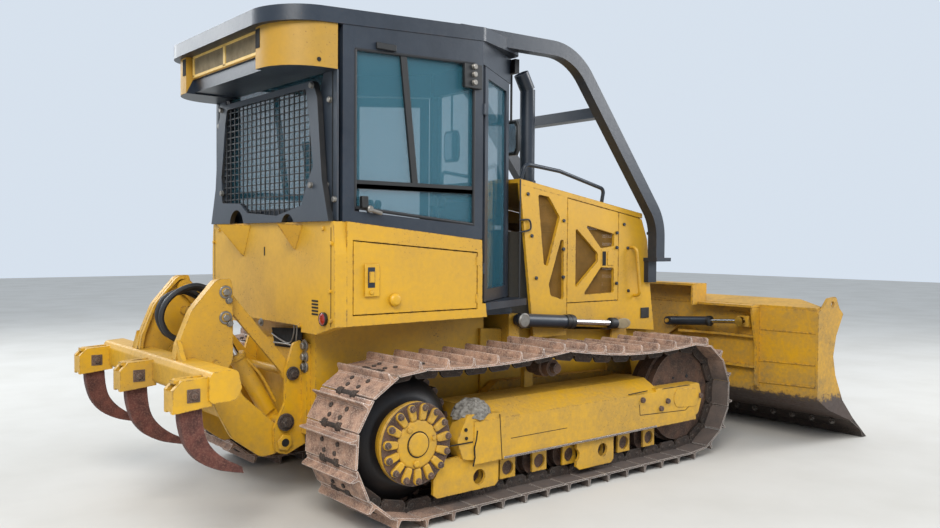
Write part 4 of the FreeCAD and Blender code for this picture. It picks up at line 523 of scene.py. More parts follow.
# %% Repeat on places
def repeat(name, thing, places, material, body="machine", spin_max=0.0):
    """A copy of the thing on each place, given as (point, rotation matrix or direction of its z, size)."""
    cloud = mesh_of(name + "_places", [at(*p) for p, _, _ in places], [])
    cloud.attributes.new("turn", "FLOAT_VECTOR", "POINT")
    cloud.attributes.new("grow", "FLOAT", "POINT")
    turns = [facing if isinstance(facing, Matrix) else
             Vector((0, 0, 1)).rotation_difference(Vector(facing)).to_matrix() for _, facing, _ in places]
    cloud.attributes["turn"].data.foreach_set("vector", [c for facing in turns for c in facing.to_euler()])
    cloud.attributes["grow"].data.foreach_set("value", [scale for _, _, scale in places])
    item = new_object(name, cloud)
    spread = item.modifiers.new("repeat", "NODES")
    spread.node_group = repeat_tree
    names = {socket.name: socket.identifier for socket in repeat_tree.interface.items_tree}
    spread[names["Thing"]] = thing
    spread[names["Finish"]] = material
    spread[names["Spin"]] = spin_max
    mesh = bpy.data.meshes.new_from_object(item.evaluated_get(bpy.context.evaluated_depsgraph_get()))
    item.modifiers.clear()
    item.data = mesh
    mesh.name = name
    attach(item, body)
    return item


def thing(forge, name, limit=35):
    """A pattern thing round the origin: it is only copied, so it leaves the scene again."""
    item = forge.piece(name, BARE_STEEL, body=None, limit=limit)
    item.data.transform(Matrix.Translation(-at(0, 0, 0)))
    item.data.update()
    return item


# %% [markdown]
# ### Bolt heads
# A bolt on a large machine is mostly its head and washer. Three heads, turned round an axis, are enough: a
# hexagon on a small washer, one on a wide washer and a nearly round one.

# %% Bolts
def bolt_thing(name, washer, sides=6):
    """Bolt head of radius 10 mm on a washer, its foot on the xy plane."""
    head = Forge()
    head.turned((0, 0, -2), (0, 0, 1), [(0, washer), (3.5, washer), (4.5, washer - 1)], 16)
    head.turned((0, 0, 0), (0, 0, 1), [(0, 10), (8.5, 10), (10.5, 8)], sides)
    return thing(head, name, 30)


HEX_BOLT = bolt_thing("hex_bolt", 12)
WASHER_BOLT = bolt_thing("washer_bolt", 17)
ROUND_BOLT = bolt_thing("round_bolt", 10.5, 14)
THINGS = [HEX_BOLT, WASHER_BOLT, ROUND_BOLT]


def both(places):
    """The same places on both sides of the machine."""
    return places + [((p[0], -p[1], p[2]), (d[0], -d[1], d[2]), s) for p, d, s in places]


print("bolt kinds", len(THINGS))

# %% [markdown]
# ## Tracks
# The chain is a closed path over sprocket, carrier roller and idler. Its pins stand at equal steps, and
# each link carries a wide flat shoe with one tall grouser just behind its front seam, four bolts and two
# notches that clear the next link.


# %% Chain path
BASE, BACK_Z, BACK_R, FRONT_Z, FRONT_R = 2260, 426, 359.4, 412, 345
CARRIER = (1066, 698 + 70 + 32)
SAGS = (43, 25)
SHOES, PHASE, SIDE_Y, SHOE_WIDE = 40, 4.0, 792.5, 485


def chain_pins():
    """Pins in (x, z): forwards along the ground, up round the idler and back over the carrier roller."""
    path = [(BASE * i / 60, BACK_Z - BACK_R + (FRONT_Z - FRONT_R - BACK_Z + BACK_R) * i / 60)
            for i in range(60)]
    path += [(BASE + FRONT_R * math.sin(math.pi * i / 60), FRONT_Z - FRONT_R * math.cos(math.pi * i / 60))
             for i in range(60)]
    for (x0, z0), (x1, z1), sag in (((BASE, FRONT_Z + FRONT_R), CARRIER, SAGS[0]),
                                    (CARRIER, (0, BACK_Z + BACK_R), SAGS[1])):
        path += [(x0 + (x1 - x0) * i / 60, z0 + (z1 - z0) * i / 60 - 4 * sag * i / 60 * (1 - i / 60))
                 for i in range(60)]
    path += [(-BACK_R * math.sin(math.pi * i / 60), BACK_Z + BACK_R * math.cos(math.pi * i / 60))
             for i in range(60)]
    closed = path + path[:1]
    reach = [0.0]
    for a, b in zip(closed, closed[1:]):
        reach.append(reach[-1] + math.dist(a, b))
    pins = []
    for k in range(SHOES):
        target = (PHASE + reach[-1] * k / SHOES) % reach[-1]
        i = max(j for j in range(len(path)) if reach[j] <= target)
        part = (target - reach[i]) / (reach[i + 1] - reach[i])
        pins.append((closed[i][0] + (closed[i + 1][0] - closed[i][0]) * part,
                     closed[i][1] + (closed[i + 1][1] - closed[i][1]) * part))
    return pins, reach[-1] / SHOES


pins, LINK_STEP = chain_pins()
print("chain pitch mm", round(LINK_STEP, 1))

# %% [markdown]
# ### One shoe and one link
# A shoe is a rolled bar with its grouser in one section, so one outline drawn across the track makes it.
# The link under it is forged, with two eyes, a waist and a rail that the rollers run on.

# %% Shoe and link
HALF = LINK_STEP / 2
shoe = Forge()
wide = SHOE_WIDE / 2
plate = [(-HALF + 4, 12), (-HALF + 8, 20), (-HALF + 26, 20), (-HALF + 32, 24), (-HALF + 36, 62),
         (-HALF + 38, 66), (-HALF + 43, 66), (-HALF + 46, 62), (-HALF + 52, 26), (-HALF + 60, 20),
         (HALF + 4, 20), (HALF + 6, 13), (HALF - 4, 8), (-HALF + 8, 8)]
narrow = [(x, min(z, 58)) for x, z in plate]
shoe.loft([[(x, y, z) for x, z in (narrow if abs(y) > wide - 5 else plate)]
           for y in (-wide, -wide + 10, wide - 10, wide)])
# The notches are near black blocks at the shoe's edge: painted shade of the cut.
notches = Forge()
for y in (-44, 44):
    notches.block((-HALF - 4, -HALF + 10), (y - 15, y + 15), (14, 21.5))
heads = Forge()
for x, y in ((-4, 74), (-4, -74), (44, 50), (44, -50)):
    heads.turned((x, y, 18), (0, 0, 1), [(0, 13), (9, 13), (11, 10)], 6)
links = Forge()
for side in (-1, 1):
    for x, y in ((-HALF, 78), (HALF, 54)):
        links.turned((x, side * y - 10, 0), (0, 1, 0), [(0, 27), (20, 27)], 16)
    waist = [(-HALF - 2, -22, 78), (-HALF + 34, -26, 72), (0, -30, 66), (HALF - 34, -26, 60),
             (HALF + 2, -22, 54)]
    links.loft([[(x, side * y - 10, z), (x, side * y + 10, z), (x, side * y + 10, 9), (x, side * y - 10, 9)]
                for x, z, y in waist])
    rail = side * 106
    links.loft([[(x, rail - 8, z), (x, rail + 8, z), (x, rail + 8, 9), (x, rail - 8, 9)]
                for x, z in ((-76, -4), (-72, -34), (-54, -50), (54, -50), (72, -34), (76, -4))])
    for x in (-46, 30):
        links.turned((x, side * 112, -18), (0, side, 0), [(0, 12), (5, 12), (7, 9)], 8)
links.turned((HALF, -118, 0), (0, 1, 0), [(0, 17), (236, 17)], 14)
links.turned((HALF, -42, 0), (0, 1, 0), [(0, 22), (84, 22)], 14)
TRACK_THINGS = [(thing(shoe, "shoe"), TRACK_STEEL), (thing(notches, "shoe_notches"), DARK_INSIDE),
                (thing(heads, "shoe_bolts", 30), LINK_STEEL), (thing(links, "chain_link"), LINK_STEEL)]

# %% Chains
for side, body_name in ((1, "left"), (-1, "right")):
    places = []
    for a, b in zip(pins, pins[1:] + pins[:1]):
        along = Vector((b[0] - a[0], 0, b[1] - a[1])).normalized()
        out = Vector((along.z, 0, -along.x))
        frame_turn = Matrix((along, out.cross(along), out)).transposed()
        places.append((((a[0] + b[0]) / 2, side * SIDE_Y, (a[1] + b[1]) / 2), frame_turn, 1.0))
    parts = [repeat(f"chain_{body_name}_{k}", item, places, material) for k, (item, material) in
             enumerate(TRACK_THINGS)]
    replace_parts(parts[0], "track_" + body_name)
THINGS += [item for item, _ in TRACK_THINGS]
print("shoes per side", len(places))

# %% [markdown]
# ## Final drives
# The hub's cast face carries fifteen lobes with a bolt at the end of each, and dried dirt lies between
# them. One outline drawn out and narrowed at the top makes a lobe, and a loop sets it round the axle,
# because the lobes are closed solids of their own. A smooth dark dish joins the hub to the sprocket's rim.

# %% Final drive faces
HUB_Z, SIDE_FACE = 426, 1003
OUTWARD = (0, 1, 0)
LOBE_COUNT, LOBE_MIDDLE, LOBE_BOLT, PLUG_RING = 15, 162, 184, 96
LOBE = [(120, -13), (130, -18), (186, -23), (199, -16), (205, 0), (199, 16), (186, 23), (130, 18), (120, 13)]


def ring(forge, centre, along, radius, thick, sides=8):
    """A closed round bar that runs in a circle about a line."""
    axis = Vector(along).normalized()
    u = axis.orthogonal().normalized()
    v = axis.cross(u)
    forge.tube([Vector(centre) + (u * math.cos(math.pi * k / 24) + v * math.sin(math.pi * k / 24)) * radius
                for k in range(49)], thick, sides)


lobes, cake, grooves, dish = Forge(), Forge(), Forge(), Forge()
lobe_bolts = []
for k in range(LOBE_COUNT):
    t = 2 * math.pi * (k + 0.25) / LOBE_COUNT
    for_height = [(height, [((a - LOBE_MIDDLE) * grow + LOBE_MIDDLE, b * grow) for a, b in LOBE])
                  for height, grow in ((-2, 1.0), (15, 1.0), (20, 0.84))]
    lobes.loft([[(r * math.cos(t) - w * math.sin(t), SIDE_FACE + height,
                  HUB_Z + r * math.sin(t) + w * math.cos(t)) for r, w in outline]
                for height, outline in for_height])
    place = (LOBE_BOLT * math.cos(t), SIDE_FACE + 19, HUB_Z + LOBE_BOLT * math.sin(t))
    lobe_bolts.append((place, OUTWARD, 1.5))
lobes.turned((0, SIDE_FACE - 2, HUB_Z), OUTWARD, [(0, 122), (10, 122), (16, 112)], 40)
lobes.turned((0, SIDE_FACE + 12, HUB_Z), OUTWARD, [(0, 60), (8, 60), (12, 54)], 32)
for turned, size in ((125, 15), (262, 17), (12, 12)):
    t = math.radians(turned)
    lobes.turned((PLUG_RING * math.cos(t), SIDE_FACE + 12, HUB_Z + PLUG_RING * math.sin(t)), OUTWARD,
                 [(0, size), (10, size), (13, size - 4)], 12)
cake.turned((0, SIDE_FACE - 1, HUB_Z), OUTWARD, [(0, 209), (5, 209)], 48)
# The cap's groove is a near black ring: painted shade.
ring(grooves, (0, SIDE_FACE + 15, HUB_Z), OUTWARD, 63, 3.5)
dish.turned((0, 816, HUB_Z), OUTWARD,
            [(0, 322), (10, 322), (16, 314), (40, 300), (60, 272), (92, 232), (96, 214)], 64)
lobes.mirrored().piece("hub_lobes", MACHINE_YELLOW, bevel=2.0)
cake.mirrored().piece("hub_dirt", RUST_STEEL)
grooves.mirrored().piece("hub_cap_groove", DARK_INSIDE)
dish.mirrored().piece("sprocket_dish", DARK_STEEL)
repeat("hub_bolts", HEX_BOLT, both(lobe_bolts), RUST_STEEL, spin_max=1.0)
print("hub lobes", len(lobe_bolts))

# %% [markdown]
# ## Track frames
# The long covers are plain welded boxes. What breaks them up is small: plug holes, a slot and open seams,
# which are thin dark solids let into the face, a worn strip along the lower edge, and the pressed oval and
# bolts of the idler's cover. A cake of dry mud sits on the rear shelf: rings of points, each moved a little
# at random.

# %% Track frame seams
slots, seams, strip = Forge(), Forge(), Forge()
# The plug holes and the slot are near black discs and a strip: painted shade.
for x, z, r in ((317, 453, 10), (321, 408, 9), (2180, 560, 12), (2040, 560, 8)):
    slots.turned((x, SIDE_FACE - 3, z), OUTWARD, [(0, r), (4.5, r)], 14)
slots.prism("y", SIDE_FACE - 2, SIDE_FACE + 1.5, [(214, 381), (364, 381), (364, 387), (214, 387)])
slots.mirrored().piece("frame_slots", DARK_INSIDE)
for thick, path in ((2.5, [(550, 508), (569, 256)]),
                    (4, [(394, 440), (388, 398), (374, 350), (378, 300), (366, 254)]),
                    (1.8, [(631, 366), (1066, 365)]),
                    (2.2, [(1705, 426), (1713, 358), (2171, 336), (2318, 414)]),
                    (3, [(1602, 499), (1781, 504)]), (2.4, [(1929, 500), (2216, 498)])):
    for a, b in zip(path, path[1:]):
        seams.tube([(a[0], SIDE_FACE, a[1]), (b[0], SIDE_FACE, b[1])], thick, 6)
seams.mirrored().piece("frame_seams", DARK_INSIDE)
strip.prism("y", SIDE_FACE - 3, SIDE_FACE + 5, [(582, 262), (1876, 262), (1876, 274), (582, 274)])
strip.mirrored().piece("frame_worn_strips", TRACK_STEEL, bevel=2)
print("seam parts", len(seams.faces))

# %% Idler covers
plate = Forge()
plate.prism("y", SIDE_FACE - 2, SIDE_FACE + 4, [
    (x + 52 * math.cos(t), z + 62 * math.sin(t)) for x, z, start in ((2262, 412, -90), (2100, 425, 90))
    for t in [math.radians(start + 180 * k / 8) for k in range(9)]])
plate.mirrored().piece("idler_cover_plates", MACHINE_YELLOW, bevel=2)
repeat("frame_cover_bolts", ROUND_BOLT, both([((x, SIDE_FACE, z), OUTWARD, 1.7) for x, z in (
    (1733, 451), (1981, 418), (1915, 377), (2325, 417))]), RUST_STEEL, spin_max=1.0)
print("idler cover points", len(plate.points))

# %% Cake of mud
MUD_X, MUD_Y, MUD_LONG, MUD_WIDE = 412, -925, 112, 86
rng = random.Random(5)
clump = Forge()
rings = []
for grow, height in ((1.0, 502), (1.06, 516), (1.0, 532), (0.94, 548), (0.84, 562), (0.66, 576), (0.42, 590),
                     (0.2, 594)):
    rings.append([(MUD_X + MUD_LONG * grow * math.cos(t) * rng.uniform(0.84, 1.12),
                   MUD_Y + MUD_WIDE * grow * math.sin(t) * rng.uniform(0.86, 1.06), height + rng.uniform(-7, 9))
                  for t in [2 * math.pi * k / 26 for k in range(26)]])
clump.loft(rings)
clump.piece("dry_mud_clump", DRY_MUD, limit=28)
print("mud rings", len(rings))

# %% [markdown]
# ## Hood
# The side panels are bolted sheet with wide windows, and woven wire behind the windows keeps debris out.
# The wire is drawn as crossed thin bars, coarser than the real weave, so that it still shows in the render.


# %% Woven wire
def weave(name, x, z, y, body, wire=2.7, pitch=9):
    """Crossed wires over a rectangle seen from the side."""
    forge = Forge()
    behind = y - math.copysign(wire * 1.2, y)
    for u in range(x[0], x[1] + 1, pitch):
        forge.tube([(u, y, z[0]), (u, y, z[1])], wire, 4)
    for v in range(z[0], z[1] + 1, pitch):
        forge.tube([(x[0], behind, v), (x[1], behind, v)], wire, 4)
    return forge.piece(name, MESH_WIRE, body)


WIRE_SIDE = 447
for side, word in ((1, "left"), (-1, "right")):
    weave("corner_mesh_" + word, (1310, 1578), (1040, 1745), WIRE_SIDE * side, "machine")
    mesh = weave("door_mesh_" + word, (1640, 2070), (1060, 1575), WIRE_SIDE * side, "engine_door_" + word)
print("door mesh faces", len(mesh.data.polygons))

# %% [markdown]
# ### Bolts, latches and trim of the hood
# Round headed bolts hold the panels. Their places are a short list for one side, and the repeat tree puts a
# copy on each. What belongs to a door rides on the door: its latch plate with a dark slot, and its own
# bolts.

# %% Hood bolts and latches
HOOD_SIDE = 473
repeat("hood_bolts", ROUND_BOLT, both([((x, HOOD_SIDE - 1, z), OUTWARD, 1.1) for x, z in (
    (1237, 1736), (1273, 1472), (1315, 1203), (1560, 1574), (1560, 1388), (1560, 1204),
    (2158, 1560), (2199, 1395), (2210, 1094), (2420, 1500), (2440, 1200))]), CHARCOAL)
for side, word in ((1, "left"), (-1, "right")):
    latch, slot = Forge(), Forge()
    latch.prism("y", 472 * side, 476 * side, [(1926, 1262), (2058, 1262), (2058, 1384), (1926, 1384)])
    latch.prism("y", 474 * side, 481 * side, [(1986, 1276), (2046, 1276), (2046, 1370), (1986, 1370)])
    latch.piece("engine_door_latch_" + word, MACHINE_YELLOW, "engine_door_" + word, bevel=1.5)
    # The latch's slot is a near black sheet: painted shade.
    slot.prism("y", 475 * side, 477 * side, [(1936, 1274), (1972, 1274), (1972, 1372), (1936, 1372)])
    slot.piece("engine_door_slot_" + word, DARK_INSIDE, "engine_door_" + word)
    places = [((2080, (HOOD_SIDE + 5) * side, z), (0, side, 0), 1.1) for z in (1500, 1398, 1150)]
    repeat("engine_door_bolts_" + word, ROUND_BOLT, places, CHARCOAL, "engine_door_" + word)
print("hood latches", 2)

# %% Hood trim
boxes, trim = Forge(), Forge()
boxes.prism("y", HOOD_SIDE + 1, HOOD_SIDE + 6, [(2346, 893), (2436, 893), (2436, 968), (2346, 968)])
boxes.mirrored().piece("cheek_lamp_boxes", BLACK_PLASTIC, bevel=2)
trim.tube(bent([(1168, 470, 1571), (1190, 482, 1572), (1244, 484, 1570), (1252, 484, 1515), (1190, 482, 1498),
                (1168, 470, 1495)]), 6)
trim.tube([(1173, 470, 1030), (1173, 474, 1826)], 5, 6)
trim.mirrored().piece("hood_seals", RUBBER)
print("trim points", len(trim.points))

# %% Yellow grab handles
GRAB_HANDLES_FROM = 2150
rails = nodes["handrails"].data
rails.materials.append(MACHINE_YELLOW)
for face in rails.polygons:
    face.material_index = 1 if face.center.x > (GRAB_HANDLES_FROM - MIDDLE) / 1000 else 0
print("handrail finishes", len(rails.materials))

# %% [markdown]
# ## Body sides and tank
# Each access door has a latch in a raised plate and a round cap. A few boxes and turned solids make them,
# with their edges rounded by a Bevel modifier, which is how a pressed plate catches the light.

# %% Access door latches
BODY_SIDE = 753
for side, word in ((1, "left"), (-1, "right")):
    plate, lock, paddle = Forge(), Forge(), Forge()
    plate.prism("y", 752 * side, 762 * side, [(-150, 1150), (-62, 1150), (-62, 1316), (-150, 1316)])
    plate.turned((34, BODY_SIDE * side, 1128), (0, side, 0), [(0, 34), (14, 34), (24, 24), (26, 10)], 20)
    plate.piece("access_latch_plate_" + word, MACHINE_YELLOW, "access_door_" + word, bevel=3)
    lock.prism("y", 761 * side, 764 * side, [(-134, 1196), (-92, 1196), (-92, 1300), (-134, 1300)])
    lock.piece("access_latch_recess_" + word, CHARCOAL, "access_door_" + word, bevel=1)
    paddle.turned((-113, 763 * side, 1172), (0, side, 0), [(0, 12), (6, 12), (8, 9)], 16)
    paddle.prism("y", 763 * side, 772 * side, [(-128, 1222), (-98, 1222), (-98, 1278), (-128, 1278)])
    paddle.piece("access_latch_paddle_" + word, MACHINE_YELLOW, "access_door_" + word, bevel=2)
print("access latches", 2)

# %% [markdown]
# ### The tank's back wall
# A vent of five slots, a red lamp on each side, bolts, folded brackets under the rear guard and a recess
# with two thin pipes. Openings that lead nowhere in the model are thin dark solids just proud of the wall,
# because a real hole would show that the wall is solid: their dark is painted shade, and so is the recess's.

# %% Tank back
TANK_BACK = -320
BACKWARD = (-1, 0, 0)
VENT_SLOTS, VENT_STEP, VENT_LOW = 5, 17, 1057
vents, rims, lens, seam, slit = Forge(), Forge(), Forge(), Forge(), Forge()
for k in range(VENT_SLOTS):
    z = VENT_LOW + VENT_STEP * k
    vents.prism("x", TANK_BACK - 2.5, TANK_BACK + 2,
                [(522, z - 4.5), (586, z - 4.5), (586, z + 4.5), (522, z + 4.5)])
vents.mirrored().piece("tank_vent", DARK_INSIDE)
lens.turned((TANK_BACK - 10, 652, 1039), BACKWARD, [(0, 31), (6, 31), (10, 24), (12, 8)], 24)
lens.mirrored().piece("tail_lamp_lenses", RED_LENS)
ring(rims, (TANK_BACK - 15, 652, 1039), (1, 0, 0), 32, 3)
rims.mirrored().piece("tail_lamp_rims", BLACK_PLASTIC)
repeat("tank_bolts", ROUND_BOLT, both([((TANK_BACK + 1, y, z), BACKWARD, 1.1) for y, z in (
    (720, 1035), (708, 1182), (394, 987), (640, 1495), (300, 1500), (720, 1420))]), MACHINE_YELLOW)
repeat("tank_plug", WASHER_BOLT, [((TANK_BACK + 1, 65, 969), BACKWARD, 1.4)], BARE_STEEL)
seam.prism("x", TANK_BACK - 1.5, TANK_BACK + 2, [(712, 1003), (716, 1003), (716, 1500), (712, 1500)])
seam.mirrored().piece("tank_seams", DARK_INSIDE)
slit.block((TANK_BACK - 2.5, TANK_BACK + 1), (17, 27), (1348, 1397))
slit.piece("rear_wall_slot", DARK_INSIDE)
print("vent slots", VENT_SLOTS)

# %% Folded brackets, recess and pipes
fold = Forge()
for inner, outer, tip in (((200, 1521), (500, 1509), (291, 1340)), ((-262, 1516), (-418, 1514), (-344, 1385))):
    middle = inner[0] * 0.35 + outer[0] * 0.65
    fold.loft([[(TANK_BACK + 2, *inner), (TANK_BACK + 2, *outer), (TANK_BACK + 2, tip[0], tip[1] + 4)],
               [(TANK_BACK - 2, *inner), (TANK_BACK - 2, *outer), (TANK_BACK - 2, *tip)],
               [(-440, middle, 1524), (-440, middle + 6, 1524), (-334, tip[0] + 3, tip[1] + 8)]])
fold.piece("rear_folded_brackets", MACHINE_YELLOW, limit=15)
pipes, recess = Forge(), Forge()
for x, path in ((-262, [(47, 905), (-112, 868), (-183, 875), (-217, 930), (-222, 985)]),
                (-270, [(10, 857), (-130, 861), (-240, 864), (-263, 921), (-268, 985)])):
    pipes.tube(bent([(x + 62, *path[0])] + [(x, *spot) for spot in path]), 5)
pipes.piece("hard_lines", BARE_STEEL)
# The recess is a near black sheet: painted shade.
recess.prism("x", -257, -255, [(62, 936), (-300, 960), (-288, 846), (22, 834)])
recess.piece("mount_recess", DARK_INSIDE)
print("pipe points", len(pipes.points))

# %% [markdown]
# ## Ripper
# The shanks are forged in one smooth curve. A curve through a few points on each side of the hook makes the
# outline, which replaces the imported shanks. Pins end in zinc plated washers with a small keeper bolt.

# %% Ripper shanks and pins
SHANK_PLACES = (-715, 0, 715)
RIPPER = "ripper_beam"
REAR_EDGE = [(-1098, 0, 800), (-1097, 0, 690), (-1089, 0, 600), (-1060, 0, 510), (-1005, 0, 440), (-930, 0, 395),
             (-860, 0, 372), (-791, 0, 355)]
FRONT_EDGE = [(-800, 0, 386), (-868, 0, 426), (-926, 0, 474), (-966, 0, 530), (-984, 0, 596), (-992, 0, 690),
              (-992, 0, 800)]
shanks, plates = Forge(), Forge()
hook = [(p.x, p.z) for edge in (REAR_EDGE, FRONT_EDGE) for p in bent(edge)]
for place in SHANK_PLACES:
    shanks.prism("y", place - 25, place + 25, hook)
    plates.block((-1072, -1012), (place - 57, place - 52), (716, 776))
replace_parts(shanks.piece("ripper_shanks_smooth", SHANK_STEEL, RIPPER, limit=50, bevel=3), "ripper_shanks")
plates.piece("pocket_pin_plates", RUST_STEEL, RIPPER, bevel=2)
for name, bolt, places, finish in (
        ("tower_washers", WASHER_BOLT, both([((-690, 300, z), OUTWARD, 2.0) for z in (1170, 1040)]), BARE_STEEL),
        ("tower_keepers", HEX_BOLT, both([((x, 299, z), OUTWARD, 1.6) for x, z in ((-672, 1128), (-668, 1010))]),
         BARE_STEEL),
        ("pocket_pins", WASHER_BOLT, [((-1042, y - 54, 745), (0, -1, 0), 1.6) for y in SHANK_PLACES], RUST_STEEL)):
    repeat(name, bolt, places, finish, RIPPER, 1.0)
print("hook points", len(hook))

# %% [markdown]
# ### Hoses between the towers
# Two pairs of rubber hoses rise from the beam, loop back and drop to the cylinders. Each follows a smooth
# curve through given points that leave the fitting straight, and the inner hoses lie a little inside
# the outer.

# %% Ripper hoses
hoses = Forge()
for k, y in enumerate((-92, -50, 44, 86)):
    inward = 14 * k
    hoses.tube(bent([(-662, y, 1100), (-690, y, 1168 - inward), (-760, y + 4, 1196 - inward),
                     (-845, y + 8, 1172 - inward), (-915 + inward, y + 10, 1110), (-938 + inward, y + 12, 1030),
                     (-905 + inward, y + 10, 950), (-835, y + 6, 905 + inward / 2), (-760, y, 880)], 8), 14, 10)
hoses.piece("ripper_hoses", RUBBER, RIPPER)
print("hose points", len(hoses.points))

# %% Ripper mount and glands
MOUNT_PIN = (-360, 297, 355)
mount, hole, gland = Forge(), Forge(), Forge()
repeat("mount_flange_bolts", WASHER_BOLT, both([((-254, 322, z), BACKWARD, 2.0) for z in (867, 808, 754)]),
       BARE_STEEL, "machine", 1.0)
repeat("mount_pin_bolts", WASHER_BOLT, both([((-310, 298, 720), OUTWARD, 2.2), ((-352, 298, 462), OUTWARD, 2.8)]),
       LINK_STEEL, "machine", 1.0)
mount.turned(MOUNT_PIN, OUTWARD, [(0, 46), (10, 46), (12, 40)], 6)
mount.mirrored().piece("mount_low_pin_nut", MACHINE_YELLOW, bevel=2)
# The pin's hole is a near black disc: painted shade.
hole.turned((MOUNT_PIN[0], 309, MOUNT_PIN[2]), OUTWARD, [(0, 22), (1.5, 22)], 20)
hole.mirrored().piece("mount_low_pin_hole", DARK_INSIDE)
ripper_pin, ripper_eye = Vector((-352, 130, 462)), Vector((-690, 130, 1040))
ripper_line = (ripper_eye - ripper_pin).normalized()
gland.turned(ripper_pin + ripper_line * 392, ripper_line, [(0, 47), (4, 52), (20, 52), (26, 44)], 24)
gland.tube(bent([ripper_pin + ripper_line * reach + Vector(beside) for reach, beside in (
    (380, (30, 30, 10)), (240, (46, 30, 30)), (70, (44, 30, 28)))]), 8)
gland.mirrored().piece("ripper_glands", MACHINE_YELLOW, "ripper_barrels")
print("gland points", len(gland.points))

# %% [markdown]
# ## Cylinders
# Each barrel ends in a collar where its rod comes out, and each rod in a boot or an eye. All are turned
# along the line from pin to eye, so that a profile of distance and radius is enough, and each rides on the
# part it is on.

# %% Lift cylinders
lift_pin, lift_eye = Vector((1130, 519, 948)), Vector((2095, 519, 873))
lift_line = (lift_eye - lift_pin).normalized()
collar, cap, cover, boot = Forge(), Forge(), Forge(), Forge()
collar.turned(lift_pin + lift_line * 395 + Vector((0, 4, 0)), lift_line, [
    (0, 42), (3, 46), (30, 46), (34, 43), (40, 49), (66, 49), (70, 46), (76, 46), (79, 40)], 28)
collar.mirrored().piece("lift_collars", BLACK_PLASTIC, "lift_barrels")
cap.turned((1130, 560, 948), OUTWARD, [(0, 46), (8, 46), (14, 38)], 24)
cap.mirrored().piece("lift_pin_caps", BARE_STEEL)
cover.loft([[(2078 + 78 * grow * math.cos(t), y, 876 + 36 * grow * math.sin(t)) for t in
             [2 * math.pi * k / 28 for k in range(28)]] for y, grow in ((541, 1.0), (545, 1.0), (548, 0.9))])
cover.mirrored().piece("lift_eye_covers", TAN_GRILLE, "c_frame")
boot.turned(lift_eye - lift_line * 130, lift_line, [(0, 30), (6, 38), (58, 38), (64, 30)], 20)
boot.mirrored().piece("lift_rod_boots", RUBBER, "lift_rods")
print("lift line", [round(c, 3) for c in lift_line])

# %% Angle and tilt cylinders
for side, word in ((1, "left"), (-1, "right")):
    pin, eye = Vector((2600, 340 * side, 640)), Vector((3080, 290 * side, 640))
    line = (eye - pin).normalized()
    collar = Forge()
    collar.turned(pin + line * 280, line, [(0, 39), (3, 43), (26, 43), (30, 39), (34, 34)], 24)
    collar.tube(bent([pin + line * reach + Vector((0, aside * side, rise)) for reach, aside, rise in (
        (60, 20, 34), (80, 22, 52), (240, 22, 52), (268, 20, 34))]), 9)
    collar.piece("angle_collar_" + word, BLACK_PLASTIC, "angle_barrel_" + word)
tilt_pin, tilt_eye = Vector((3035, -190, 820)), Vector((3035, -834, 860))
tilt_line = (tilt_eye - tilt_pin).normalized()
collar = Forge()
collar.turned(tilt_pin + tilt_line * 366, tilt_line, [(0, 35), (3, 40), (28, 40), (32, 35), (36, 30)], 24)
collar.piece("tilt_collar", BLACK_PLASTIC, "tilt_barrel")
print("tilt line", [round(c, 3) for c in tilt_line])

# %% [markdown]
# ## Blade
# The moldboard's back has a sloping shelf along the top and thick weld beads where its ribs end. The shelf
# is one loft of four rings, wide in the middle and narrow at the ends. Plough bolts hold the cutting edge
# from the front, and their nuts show behind.

# %% Blade shelf, weld beads and nuts
BLADE_TOP, SHELF_REAR, SHELF_END, BEAD_X = 985, 3138, 3460, 3134
shelf, beads = Forge(), Forge()


def shelf_ring(y, front):
    """The shelf's section at y, from the back plate to its front edge, which rests on the curved skin."""
    skin = BLADE_TOP - max(0, front - 3165) * 54 / 310
    return [(SHELF_REAR, y, BLADE_TOP + 1), (front, y, BLADE_TOP + 5 + 0.13 * (front - 3165)),
            (min(front + 14, SHELF_END), y, skin - 8), (SHELF_REAR + 2, y, BLADE_TOP - 17)]


shelf.loft([shelf_ring(y, front) for y, front in ((-1371, 3200), (-1092, 3420), (1092, 3420), (1371, 3200))])
shelf.piece("blade_top_shelf", BLADE_YELLOW, "blade", limit=20, bevel=2)
for low, high, inner in ((806, 810, 920), (577, 588, 937), (420, 434, 939)):
    beads.tube([(BEAD_X, inner, low), (BEAD_X, 1371, high)], 5, 6)
beads.tube(bent([(BEAD_X - 1, y, z) for y, z in (
    (685, 922), (829, 912), (900, 870), (925, 800), (928, 600), (927, 412))]), 6, 6)
beads.mirrored().piece("blade_weld_beads", SCRAPED_YELLOW, "blade")
nuts = [((3606, 130 + 160 * k, 120), (-1, 0, 0.35), 1.8) for k in range(8)]
repeat("cutting_edge_nuts", HEX_BOLT, both(nuts), EDGE_STEEL, "blade", 1.0)
print("edge nuts", 2 * len(nuts))

# %% [markdown]
# ## Cab outside
# Rubber gaskets hold the side glass, and a slanted bar parts its sliding pane. A gasket is a round bar
# along each edge of the pane, half sunk in the frame, so that no gap shows at the corners.

# %% Gaskets and sliding pane
WINDOW = [(-196, 1603), (576, 1529), (576, 2425), (-196, 2395)]
GLASS_SIDE = 735
gaskets, bars = Forge(), Forge()
for a, b in zip(WINDOW, WINDOW[1:] + WINDOW[:1]):
    gaskets.tube([(a[0], GLASS_SIDE, a[1]), (b[0], GLASS_SIDE, b[1])], 9, 8)
gaskets.mirrored().piece("window_gaskets", RUBBER)
bars.loft([[(x - 19, 719, z), (x + 19, 719, z), (x + 19, 737, z), (x - 19, 737, z)]
           for x, z in ((97, 2422), (177, 1722))])
bars.prism("x", -196, 576, [(719, 1698), (738, 1698), (738, 1742), (719, 1742)])
bars.mirrored().piece("sliding_pane_bars", BLACK_PLASTIC, bevel=2)
print("gasket edges", len(WINDOW))

